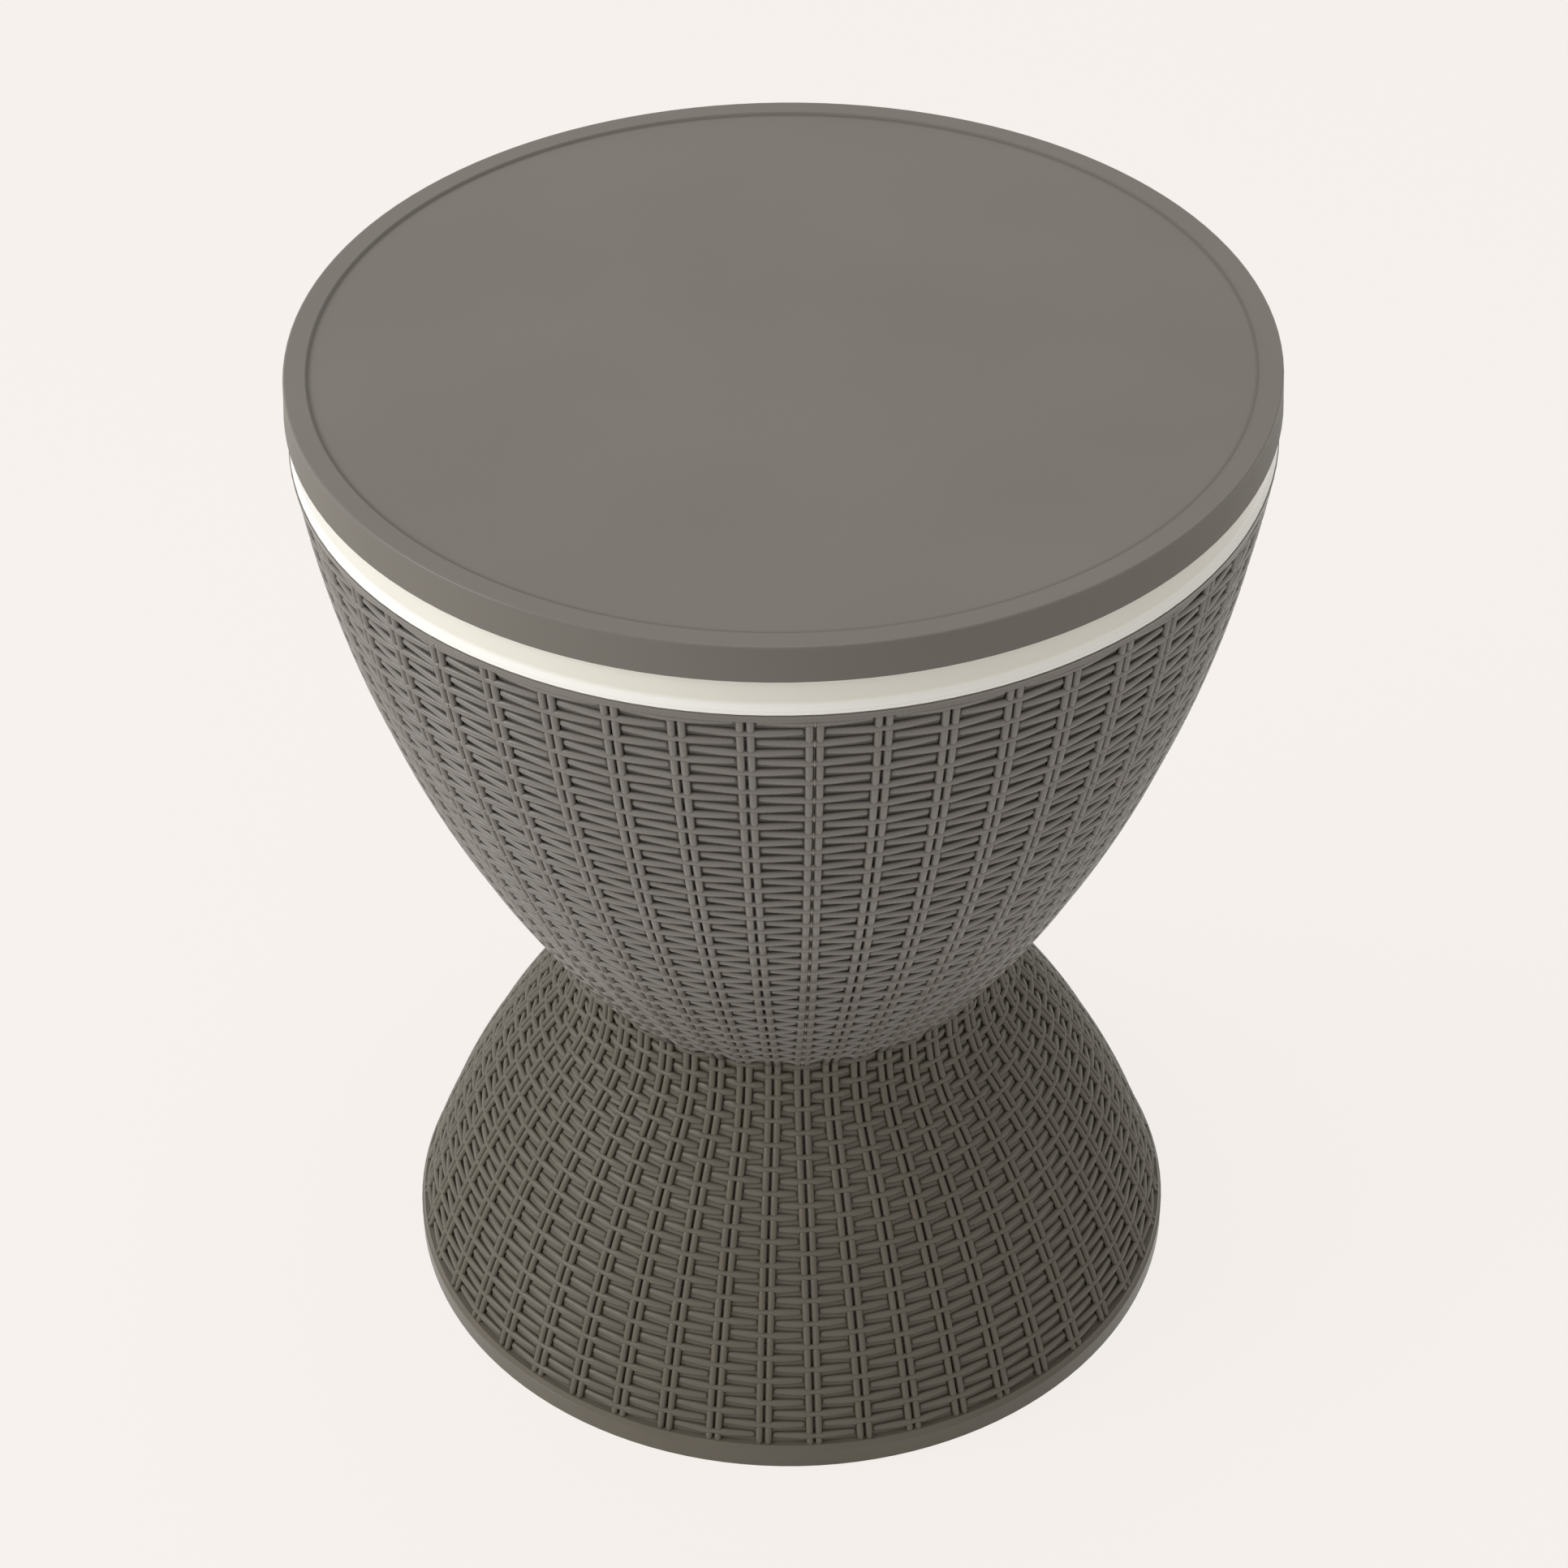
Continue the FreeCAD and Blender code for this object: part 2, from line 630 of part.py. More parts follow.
def bell_outline(sketch, outer, inner, over=(), under=()):
    """An outline between two lines that follow the bell's side, as bowl_outline is for the bowl."""
    guides = bell_line(sketch, NONE, cell.foot_band, cell.waist_height)[0]
    sides = [bell_line(sketch, *line, guides) for line in (outer, inner)]
    join(sketch, sides[0][1], sides[1][1], under)
    join(sketch, sides[0][2], sides[1][2], over)


def screws(label, radius, head_radius, head_plate, across, seat, tip, count, turn=0.0):
    """Upright screws in a ring: each head hangs below its seat and the shank points up."""
    body = new_part(label, turn)
    sketch = new_sketch(body, "XZ_Plane", across=across)
    polygon(sketch, [(NONE, seat - head_plate), (head_radius, seat - head_plate), (head_radius, seat),
                     (radius, seat), (radius, tip), (NONE, tip)])
    repeat(body, revolve(body, sketch), count)


# Bell base: moulded bell with stakes outside, a plain foot band with a ridge above it, a flat ring to
# rest on, inner ribs and a neck plate
base_shell = new_part("base_shell")
outline = new_sketch(base_shell, "XZ_Plane")
bell_outline(
    outline,
    (cell.weave_depth, ridge_top, cell.waist_height), (bell_inset, cell.foot_flange_plate, neck_under),
    under=[(foot_top_radius - cell.ridge_draft, ridge_top), (foot_top_radius, cell.foot_band),
           (cell.foot_radius, cell.foot_band - cell.foot_step), (cell.foot_radius, NONE),
           (flange_inner, NONE), (flange_inner, cell.foot_flange_plate)],
    over=[(mast_hole, cell.waist_height), (mast_hole, neck_under)])
revolve(base_shell, outline)
outline = new_sketch(base_shell, "XZ_Plane", turn=STAKE_TURN)
bell_outline(outline, (NONE, ridge_top, cell.waist_height), (stake_root, ridge_top, cell.waist_height))
bell_stake = raise_outline(base_shell, outline, cell.stake_width, both_ways=True)
repeat(base_shell, bell_stake, cell.stake_count)
outline = new_sketch(base_shell, "XZ_Plane")
rib_top = neck_under + cell.rib_root
bell_outline(outline, (bell_inset - cell.rib_root, cell.bell_rib_low, rib_top),
             (bell_inset + cell.bell_rib_depth, cell.bell_rib_low, rib_top))
bell_rib = raise_outline(base_shell, outline, cell.bell_rib_wall, both_ways=True)
repeat(base_shell, bell_rib, cell.bell_rib_count)
through = cell.neck_plate + past * 2
for hole_radius, hole_ring, hole_count, hole_turn in (
        (neck_screw_hole, cell.neck_screw_ring, cell.neck_screw_count, 0.0),
        (screw_hole, cell.liner_screw_ring, cell.liner_screw_count, 0.0),
        (drain_hole, cell.drain_offset, None, DRAIN_TURN)):
    holes(base_shell, hole_radius, hole_ring, cell.waist_height + past, through, hole_count, hole_turn)

# Bowl casing: curved wall with stakes and a rail outside, floor that stands on the neck plate, gussets,
# and a ledge and lip on top
bowl_casing = new_part("bowl_casing")
outline = new_sketch(bowl_casing, "XZ_Plane")
lip_outer = band_radius - cell.band_wall - cell.lip_gap
lip_inner = lip_outer - cell.lip_wall
lip_top = casing_height + cell.lip_height
ledge_foot = casing_height - cell.ledge_depth
bowl_outline(
    outline,
    (cell.weave_depth, cell.waist_height, casing_height), (casing_inset, casing_floor_top, ledge_foot),
    under=[(mast_hole, cell.waist_height), (mast_hole, casing_floor_top)],
    over=[(lip_outer, casing_height), (lip_outer, lip_top), (lip_inner, lip_top),
          (lip_inner, ledge_foot)])
revolve(bowl_casing, outline)
outline = new_sketch(bowl_casing, "XZ_Plane")
rail_foot = casing_height - cell.rail_depth
bowl_outline(outline, (NONE, rail_foot, casing_height), (stake_root, rail_foot, casing_height))
revolve(bowl_casing, outline)
outline = new_sketch(bowl_casing, "XZ_Plane", turn=STAKE_TURN)
bowl_outline(outline, (NONE, cell.waist_height, rail_foot), (stake_root, cell.waist_height, rail_foot))
bowl_stake = raise_outline(bowl_casing, outline, cell.stake_width, both_ways=True)
repeat(bowl_casing, bowl_stake, cell.stake_count)
outline = new_sketch(bowl_casing, "XZ_Plane")
gusset_low, gusset_high = casing_floor_top - cell.rib_root, casing_floor_top + cell.gusset_height
bowl_outline(outline, (casing_inset - cell.rib_root, gusset_low, gusset_high),
             (casing_inset + cell.gusset_depth, gusset_low, gusset_high))
gusset = raise_outline(bowl_casing, outline, cell.gusset_wall, both_ways=True)
repeat(bowl_casing, gusset, cell.gusset_count)
posts(bowl_casing, cell.neck_post_radius, cell.neck_screw_ring, casing_floor_top, cell.neck_post_height,
      cell.neck_screw_count)
neck_screw_end = casing_floor_top + cell.neck_post_height - cell.neck_post_roof
holes(bowl_casing, neck_screw_hole, cell.neck_screw_ring, neck_screw_end,
      neck_screw_end - cell.waist_height + past, cell.neck_screw_count)
through = cell.casing_floor + past * 2
holes(bowl_casing, screw_hole, cell.liner_screw_ring, casing_floor_top + past, through,
      cell.liner_screw_count)
holes(bowl_casing, drain_hole, cell.drain_offset, casing_floor_top + past, through, turn=DRAIN_TURN)

# White liner: bowl, floor with a sump, chimney round the column, rim, and the band that shows outside
bowl_liner = new_part("bowl_liner")
outline = new_sketch(bowl_liner, "XZ_Plane")
band_inner = band_radius - cell.band_wall
band_foot_radius = band_radius + cell.band_foot_flare
band_top = skirt_foot - cell.shoulder_drop - cell.rim_shoulder
rim_outer = cell.table_radius + cell.skirt_flare - cell.skirt_wall - cell.rim_gap
rim_under = rim_top - cell.liner_wall
chimney_under = chimney_top - cell.chimney_plate
bowl_outline(
    outline,
    (liner_inset - cell.liner_wall, floor_under, rim_under, cell.floor_round + cell.liner_wall, NONE),
    (liner_inset, floor_top, rim_top, cell.floor_round, cell.rim_round),
    under=[(cell.chimney_foot_radius - cell.liner_wall, floor_under),
           (cell.chimney_top_radius - cell.liner_wall, chimney_under),
           (mast_hole, chimney_under), (mast_hole, chimney_top),
           (cell.chimney_top_radius - cell.chimney_edge, chimney_top),
           (cell.chimney_top_radius, chimney_top - cell.chimney_edge),
           (cell.chimney_foot_radius, floor_top + cell.chimney_edge),
           (cell.chimney_foot_radius + cell.chimney_edge, floor_top)],
    over=[(band_inner, rim_under), (band_inner, casing_height), (band_foot_radius, casing_height),
          (band_foot_radius, casing_height + cell.band_foot_edge),
          (band_radius, casing_height + cell.band_foot),
          (band_radius, band_top), (rim_outer, band_top + cell.rim_shoulder),
          (rim_outer, rim_top - cell.rim_shoulder), (rim_outer - cell.rim_shoulder, rim_top)])
revolve(bowl_liner, outline)
posts(bowl_liner, cell.sump_radius + cell.liner_wall, cell.drain_offset, sump_under,
      cell.sump_depth + cell.rib_root, None, DRAIN_TURN)
holes(bowl_liner, cell.sump_radius, cell.drain_offset, floor_top + past, cell.sump_depth + past,
      turn=DRAIN_TURN)
holes(bowl_liner, cell.drain_pipe_radius + cell.seat_gap, cell.drain_offset, sump_floor + past,
      cell.liner_wall + past * 2, turn=DRAIN_TURN)
posts(bowl_liner, cell.liner_post_radius, cell.liner_screw_ring, casing_floor_top,
      floor_under + cell.rib_root - casing_floor_top, cell.liner_screw_count)
holes(bowl_liner, screw_hole, cell.liner_screw_ring, casing_floor_top + cell.liner_screw_bite,
      cell.liner_screw_bite + past, cell.liner_screw_count)

# Fixed column: socket under the neck, outer tube with its key rib, guide collar and its seal
column_socket = new_part("column_socket")
socket_flange_under = neck_under - cell.socket_flange_plate
socket_foot = mast_foot - cell.socket_floor
socket_rib_end = cell.socket_flange_radius - cell.rib_setback
turned(column_socket, [
    (cell.socket_drip_radius, socket_foot), (socket_radius, socket_foot),
    (socket_radius, socket_flange_under), (cell.socket_flange_radius, socket_flange_under),
    (cell.socket_flange_radius, neck_under),
    (socket_bore, neck_under), (socket_bore, mast_foot), (cell.socket_drip_radius, mast_foot)])
webs(column_socket, [
    (socket_radius - cell.rib_root, mast_foot), (socket_radius, mast_foot),
    (socket_rib_end, socket_flange_under), (socket_rib_end, socket_flange_under + cell.rib_root),
    (socket_radius - cell.rib_root, socket_flange_under + cell.rib_root)],
    cell.socket_rib_wall, cell.neck_screw_count, NECK_RIB_TURN)
holes(column_socket, neck_screw_hole, cell.neck_screw_ring, neck_under + past,
      cell.socket_flange_plate + past * 2, cell.neck_screw_count)
cross_holes(column_socket, screw_hole, cell.mast_radius, socket_radius, mast_screw_level,
            cell.mast_screw_count, MAST_SCREW_TURN)
cross_holes(column_socket, cell.screw_head_radius + cell.screw_gap, mast_screw_seat, socket_radius + past,
            mast_screw_level, cell.mast_screw_count, MAST_SCREW_TURN)

outer_tube = new_part("outer_tube")
turned_ring(outer_tube, mast_bore, cell.mast_radius, mast_foot, mast_top)
key_root = mast_bore + cell.rib_root
webs(outer_tube, [(key_face, mast_foot), (key_root, mast_foot), (key_root, mast_top), (key_face, mast_top)],
     cell.key_width)
cross_holes(outer_tube, screw_hole, mast_bore - past, cell.mast_radius + past, mast_screw_level,
            cell.mast_screw_count, MAST_SCREW_TURN)

column_collar = new_part("column_collar")
collar_bore = cell.tube_radius + cell.slide_gap
sleeve_radius = mast_bore - cell.seat_gap
turned(column_collar, [
    (collar_bore, collar_foot), (sleeve_radius, collar_foot), (sleeve_radius, mast_top),
    (socket_bore, mast_top), (socket_bore, collar_under), (cell.collar_radius, collar_under),
    (cell.collar_radius, collar_under + cell.collar_edge), (cell.collar_top_radius, collar_top),
    (collar_bore, collar_top)])
slot(column_collar, key_face - cell.key_gap, sleeve_radius + past, collar_foot - past, mast_top, key_slot)

column_seal = new_part("column_seal")
seal_inner = mast_hole + cell.key_gap
turned_ring(column_seal, seal_inner, seal_inner + cell.seal_width, chimney_top, collar_under)

screws("neck_screws", cell.neck_screw_radius, cell.neck_screw_head_radius, cell.neck_screw_head_plate,
       cell.neck_screw_ring, socket_flange_under, neck_screw_end - cell.screw_relief, cell.neck_screw_count)
screws("liner_screws", cell.screw_radius, cell.screw_head_radius, cell.screw_head_plate,
       cell.liner_screw_ring, neck_under, casing_floor_top + cell.liner_screw_bite - cell.screw_relief,
       cell.liner_screw_count)

mast_screws = new_part("mast_screws")
outline = new_sketch(mast_screws, "XZ_Plane", up=mast_screw_level, turn=MAST_SCREW_TURN)
mast_screw_tip = mast_bore + cell.mast_screw_relief
head_end = mast_screw_seat + cell.screw_head_plate
polygon(outline, [
    (mast_screw_tip, NONE), (head_end, NONE), (head_end, cell.screw_head_radius),
    (mast_screw_seat, cell.screw_head_radius), (mast_screw_seat, cell.screw_radius),
    (mast_screw_tip, cell.screw_radius)])
repeat(mast_screws, revolve(mast_screws, outline, axis="H_Axis"), cell.mast_screw_count)

# Drain: flanged pipe through the sump, its gasket and back nut, and the rubber stopper
drain_outlet = new_part("drain_outlet")
turned(drain_outlet, [
    (cell.drain_bore, drain_foot), (cell.drain_pipe_radius, drain_foot),
    (cell.drain_pipe_radius, drain_flange_under), (cell.drain_flange_radius, drain_flange_under),
    (cell.drain_flange_radius, floor_top), (cell.drain_bore + cell.drain_lead, floor_top),
    (cell.drain_bore, floor_top - cell.drain_lead)])

drain_gasket = new_part("drain_gasket")
turned_ring(drain_gasket, cell.drain_pipe_radius + cell.seat_gap, cell.drain_flange_radius, sump_floor,
            drain_flange_under)

drain_nut = new_part("drain_nut")
outline = new_sketch(drain_nut, "XY_Plane", up=sump_under - cell.drain_nut_length)
hexagon(outline, cell.drain_nut_flats)
circle(outline, cell.drain_pipe_radius + cell.seat_gap)
raise_outline(drain_nut, outline, cell.drain_nut_length)

drain_stopper = new_part("drain_stopper")
plug_radius = cell.drain_bore - cell.plug_gap
plug_head_top = floor_top + cell.plug_head_plate
knob_foot = plug_head_top + cell.plug_stem
knob_top = knob_foot + cell.plug_knob_plate
turned(drain_stopper, [
    (NONE, floor_top - cell.plug_depth), (plug_radius - cell.plug_taper, floor_top - cell.plug_depth),
    (plug_radius, floor_top), (cell.plug_head_radius, floor_top),
    (cell.plug_head_radius, plug_head_top - cell.plug_edge),
    (cell.plug_head_radius - cell.plug_edge, plug_head_top),
    (cell.plug_stem_radius, plug_head_top), (cell.plug_stem_radius, knob_foot),
    (cell.plug_knob_radius, knob_foot), (cell.plug_knob_radius, knob_top - cell.plug_edge),
    (cell.plug_knob_radius - cell.plug_edge, knob_top), (NONE, knob_top)])

for drain_piece in (drain_outlet, drain_gasket, drain_nut, drain_stopper):
    place_at(drain_piece, cell.drain_offset, DRAIN_TURN)

# Lock: split ring that slides in the outer tube, held from turning by the key rib in its gap
lock_ring = new_part("lock_ring")
lock_bore = cell.cam_radius + cell.cam_offset + cell.cam_gap
turned_ring(lock_ring, lock_bore, mast_bore - cell.slide_gap, lock_ring_foot, lock_ring_top)
slot(lock_ring, lock_bore - past, mast_bore + past, lock_ring_foot - past, lock_ring_top + past, key_slot)

# Lock cam: plug in the sliding tube's end, with an off-centre disc between two flanges
lock_cam = new_part("lock_cam")
spigot_radius = tube_bore - cell.seat_gap
spigot_bore = spigot_radius - cell.lock_flange
turned(lock_cam, [
    (NONE, cam_top), (cell.tube_radius, cam_top), (cell.tube_radius, tube_foot), (spigot_radius, tube_foot),
    (spigot_radius, tube_foot + cell.lock_spigot), (spigot_bore, tube_foot + cell.lock_spigot),
    (spigot_bore, tube_foot), (NONE, tube_foot)])
posts(lock_cam, cell.cam_radius, cell.cam_offset, cam_foot, cam_top - cam_foot, None)
turned(lock_cam, [(NONE, lock_foot), (cell.tube_radius, lock_foot), (cell.tube_radius, cam_foot),
                  (NONE, cam_foot)])
cross_holes(lock_cam, rivet_hole, spigot_bore - past, spigot_radius + past, rivet_level, BOTH_SIDES)

cam_rivets = new_part("cam_rivets")
outline = new_sketch(cam_rivets, "XZ_Plane", up=rivet_level)
rivet_end = cell.tube_radius - cell.slide_gap
polygon(outline, [(spigot_bore, NONE), (rivet_end, NONE), (rivet_end, cell.rivet_radius),
                  (spigot_bore, cell.rivet_radius)])
repeat(cam_rivets, revolve(cam_rivets, outline, axis="H_Axis"), BOTH_SIDES)

# Sliding tube, its hub under the table top, and the cross bolt with its nut
inner_tube = new_part("inner_tube")
turned_ring(inner_tube, tube_bore, cell.tube_radius, tube_foot, tube_top)
for cross_radius, cross_level in ((bolt_hole, bolt_level), (rivet_hole, rivet_level)):
    cross_holes(inner_tube, cross_radius, tube_bore - past, cell.tube_radius + past, cross_level, BOTH_SIDES)

top_hub = new_part("top_hub")
hub_bore = cell.tube_radius + cell.seat_gap
hub_rib_foot = hub_foot + cell.rib_setback
hub_rib_end = cell.hub_flange_radius - cell.rib_setback
turned(top_hub, [
    (hub_bore, hub_foot), (hub_radius, hub_foot), (hub_radius, hub_flange_under),
    (cell.hub_flange_radius, hub_flange_under), (cell.hub_flange_radius, hub_top), (NONE, hub_top),
    (NONE, tube_top), (hub_bore, tube_top)])
webs(top_hub, [
    (hub_radius - cell.rib_root, hub_rib_foot), (hub_radius, hub_rib_foot), (hub_rib_end, hub_flange_under),
    (hub_rib_end, hub_flange_under + cell.rib_root),
    (hub_radius - cell.rib_root, hub_flange_under + cell.rib_root)],
    cell.hub_rib_wall, cell.hub_rib_count, HUB_RIB_TURN)
holes(top_hub, screw_hole, cell.hub_screw_ring, hub_top + past, cell.hub_flange_plate + past * 2,
      cell.hub_screw_count, HUB_SCREW_TURN)
cross_holes(top_hub, bolt_hole, hub_bore - past, hub_radius + past, bolt_level, BOTH_SIDES)
cross_holes(top_hub, cell.bolt_seat_radius, bolt_seat, hub_radius + past, bolt_level, BOTH_SIDES)

tube_bolt = new_part("tube_bolt")
bolt_end = bolt_seat + cell.nut_plate + cell.bolt_tip
outline = new_sketch(tube_bolt, "YZ_Plane", up=bolt_level, out=bolt_seat)
hexagon(outline, cell.bolt_flats)
raise_outline(tube_bolt, outline, cell.bolt_head)
outline = new_sketch(tube_bolt, "YZ_Plane", up=bolt_level, out=NONE - bolt_end)
circle(outline, cell.bolt_radius)
raise_outline(tube_bolt, outline, bolt_end + bolt_seat + cell.rib_root)

tube_nut = new_part("tube_nut")
outline = new_sketch(tube_nut, "YZ_Plane", up=bolt_level, out=NONE - bolt_seat - cell.nut_plate)
hexagon(outline, cell.bolt_flats)
circle(outline, cell.bolt_radius + cell.seat_gap)
raise_outline(tube_nut, outline, cell.nut_plate)

# Table top: tray with a raised edge and a skirt, ribs and screw posts below, and the cover under them
table_top = new_part("table_top")
turned(table_top, [
    (NONE, tray_under), (cell.table_radius - cell.skirt_wall, tray_under),
    (cell.table_radius + cell.skirt_flare - cell.skirt_wall, skirt_foot),
    (cell.table_radius + cell.skirt_flare, skirt_foot),
    (cell.table_radius, cell.table_height - cell.edge_round),
    (cell.table_radius - cell.edge_round, cell.table_height, cell.edge_round, True),
    (cell.table_radius - cell.edge_width, cell.table_height),
    (cell.table_radius - cell.edge_width - cell.edge_step, tray_top), (NONE, tray_top)])
web_top = tray_under + cell.rib_root
web_end = cell.table_radius - cell.skirt_wall + cell.rib_root
turned_ring(table_top, cell.rib_ring_radius, cell.rib_ring_radius + cell.rib_wall, cover_top, web_top)
webs(table_top, [(cell.rib_ring_radius, cover_top), (web_end, cover_top), (web_end, web_top),
                 (cell.rib_ring_radius, web_top)], cell.rib_wall, cell.rib_count)

under_cover = new_part("under_cover")
cover_radius = cell.table_radius - cell.skirt_wall - cell.cover_gap
ring_foot = rim_top - cell.cover_ring_depth
ring_inner = rim_inner - cell.cover_ring_wall
turned(under_cover, [
    (NONE, rim_top), (ring_inner, rim_top), (ring_inner, ring_foot), (rim_inner, ring_foot),
    (rim_inner, rim_top), (cover_radius, rim_top), (cover_radius, cover_top), (NONE, cover_top)])

screw_tip = tray_under - cell.screw_relief
for label, ring, count, turn, seat in (
        ("cover_screws", cover_screw_ring, cell.cover_screw_count, 0.0, rim_top),
        ("hub_screws", cell.hub_screw_ring, cell.hub_screw_count, HUB_SCREW_TURN, hub_flange_under)):
    posts(table_top, cell.post_radius, ring, cover_top, web_top - cover_top, count, turn)
    holes(table_top, screw_hole, ring, tray_under, tray_under - cover_top + past, count, turn)
    holes(under_cover, screw_hole, ring, cover_top + past, cell.cover_plate + past * 2, count, turn)
    screws(label, cell.screw_radius, cell.screw_head_radius, cell.screw_head_plate, ring, seat, screw_tip,
           count, turn)

document.recompute()
for item in document.Objects:
    if "Invalid" in item.State or "Error" in item.State:
        raise RuntimeError(f"{item.Label}: {item.State}")
    if item.TypeId in ("PartDesign::Pocket", "PartDesign::Groove"):
        if item.Shape.Volume >= item.BaseFeature.Shape.Volume:
            raise RuntimeError(f"{item.Label} cuts nothing")
for body in parts:
    if body.Shape.isNull() or not body.Shape.isValid():
        raise RuntimeError(f"{body.Label} has a bad shape")
os.makedirs("parts", exist_ok=True)
for body in parts:
    body.Shape.exportStep(f"parts/{body.Label}.step")
    print(f"{body.Label}: {len(body.Shape.Solids)} solids, {body.Shape.Volume / 1000:.1f} cm3")
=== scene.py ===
# %% [markdown]
# A garden table that is also a drinks cooler, moulded in plastic to look like woven cane
#
# The real object is a round table top on a bowl-shaped cooler that stands on a bell-shaped base. The
# bowl and the bell carry a moulded wicker pattern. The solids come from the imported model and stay
# where they are. This script gives them their finishes and adds the woven relief, the light and the
# camera. All lengths are in metres.

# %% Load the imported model
import math

import bmesh
import bpy
from mathutils import Matrix, Vector


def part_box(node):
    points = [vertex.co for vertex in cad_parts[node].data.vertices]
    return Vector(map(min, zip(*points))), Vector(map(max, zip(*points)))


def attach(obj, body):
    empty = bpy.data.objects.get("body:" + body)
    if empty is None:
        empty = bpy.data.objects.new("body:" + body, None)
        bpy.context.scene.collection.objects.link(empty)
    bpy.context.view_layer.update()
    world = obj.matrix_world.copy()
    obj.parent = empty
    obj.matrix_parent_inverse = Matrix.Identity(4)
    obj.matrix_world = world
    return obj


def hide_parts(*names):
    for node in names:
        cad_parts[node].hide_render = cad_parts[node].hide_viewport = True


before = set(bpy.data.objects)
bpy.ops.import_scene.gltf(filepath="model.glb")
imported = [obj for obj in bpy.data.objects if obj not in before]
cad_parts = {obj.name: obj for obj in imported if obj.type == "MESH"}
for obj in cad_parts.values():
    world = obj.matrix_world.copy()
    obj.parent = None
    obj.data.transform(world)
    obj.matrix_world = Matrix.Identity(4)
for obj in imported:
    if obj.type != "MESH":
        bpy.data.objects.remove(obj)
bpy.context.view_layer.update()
MM = 0.001

# %% [markdown]
# The camera
#
# The photograph was taken from the front and well above the table, from about two metres away with a
# longer lens. The view was worked out from the ellipses of the table top, the white band and the foot.
# A camera can be placed with an aim constraint, but a plain matrix shows where it stands: its right
# and up directions are worked out from how far it looks down and how much it leans.

# %% Place the camera
CAMERA_DISTANCE = 2.2151
LOOK_DOWN = math.radians(38.70)
LEAN = math.radians(-0.629)
LENS = 94.11                          # millimetres, on a 36 mm wide sensor
SENSOR = 36.0
AIM_HEIGHT = 0.290                    # half the table's height
AIM_SHIFT = Vector((1.93, -10.37)) * MM


def camera_matrix():
    """The camera's place and directions."""
    look = Vector((0, math.cos(LOOK_DOWN), -math.sin(LOOK_DOWN)))
    level_right = Vector((1, 0, 0))
    level_up = level_right.cross(look)
    right = level_right * math.cos(LEAN) + level_up * math.sin(LEAN)
    up = right.cross(look)
    place = Vector((0, 0, AIM_HEIGHT)) - look * CAMERA_DISTANCE
    place -= right * AIM_SHIFT.x + up * AIM_SHIFT.y
    matrix = Matrix((right, up, -look)).transposed().to_4x4()
    matrix.translation = place
    return matrix


camera = bpy.data.objects.new("camera", bpy.data.cameras.new("camera"))
camera.data.lens = LENS
camera.data.sensor_width = SENSOR
camera.matrix_world = camera_matrix()
bpy.context.scene.collection.objects.link(camera)
bpy.context.scene.camera = camera
print("the camera stands at", [round(value, 3) for value in camera.location])

# %% [markdown]
# The light, the floor and the backdrop
#
# The photograph has the even light of a studio: a large soft lamp high on the left, a weaker one on
# the right, and pale surroundings all round. Area lamps give soft shadows, and a dim world, brighter
# towards the left, stands for the room. The floor and the backdrop look nearly white to the camera and
# to glossy surfaces, and the floor still takes the table's shadow.

# %% Colours and shader nodes
def linear(hex_colour):
    """Turns an sRGB hex colour into the linear colour that shaders use."""
    channels = [int(hex_colour[start:start + 2], 16) / 255 for start in (1, 3, 5)]
    return [*(value / 12.92 if value <= 0.04045 else ((value + 0.055) / 1.055) ** 2.4
              for value in channels), 1.0]


def add_node(tree, kind, settings=(), values=(), links=()):
    """Adds a shader node: settings are its own properties, values go into its inputs, and links
    join outputs of other nodes to its inputs."""
    node = tree.nodes.new("ShaderNode" + kind)
    for name, value in dict(settings).items():
        setattr(node, name, value)
    for name, value in dict(values).items():
        node.inputs[name].default_value = value
    for name, output in dict(links).items():
        tree.links.new(output, node.inputs[name])
    return node


def seen_directly(tree):
    """One for rays from the camera, off gloss or through glass, and zero for all other light."""
    path = add_node(tree, "LightPath")
    either = add_node(tree, "Math", {"operation": "MAXIMUM"}, links={
        0: path.outputs["Is Camera Ray"], 1: path.outputs["Is Glossy Ray"]})
    return add_node(tree, "Math", {"operation": "MAXIMUM"}, links={
        0: either.outputs[0], 1: path.outputs["Is Transmission Ray"]}).outputs[0]


print("the backdrop's linear colour is", [round(value, 3) for value in linear("#F7F2EE")])

# %% Light the scene
BACKDROP = "#F7F2EE"
ROOM_LEFT, ROOM_RIGHT = 0.92, 0.42     # strength of the room's light from either side
bpy.context.scene.view_settings.view_transform = "Standard"

world = bpy.data.worlds.new("studio")
bpy.context.scene.world = world
world.use_nodes = True
tree = world.node_tree
tree.nodes.clear()
way = add_node(tree, "SeparateXYZ", links={0: add_node(tree, "TexCoord").outputs["Generated"]})
side = add_node(tree, "MapRange", values={"From Min": -1.0, "To Min": ROOM_LEFT, "To Max": ROOM_RIGHT},
                links={"Value": way.outputs["X"]})
room = add_node(tree, "Background", values={"Color": linear("#FFFDFA")}, links={"Strength": side.outputs["Result"]})
backdrop = add_node(tree, "Background", values={"Color": linear(BACKDROP)})
chosen = add_node(tree, "MixShader", links={
    0: seen_directly(tree), 1: room.outputs[0], 2: backdrop.outputs[0]})
add_node(tree, "OutputWorld", links={"Surface": chosen.outputs[0]})


def soft_lamp(name, place, size, power):
    """A square lamp that faces the middle of the table."""
    light = bpy.data.lights.new(name, "AREA")
    light.size = size
    light.energy = power
    lamp = bpy.data.objects.new(name, light)
    lamp.location = place
    lamp.rotation_euler = (Vector((0, 0, AIM_HEIGHT)) - Vector(place)).to_track_quat("-Z", "Y").to_euler()
    bpy.context.scene.collection.objects.link(lamp)
    return lamp


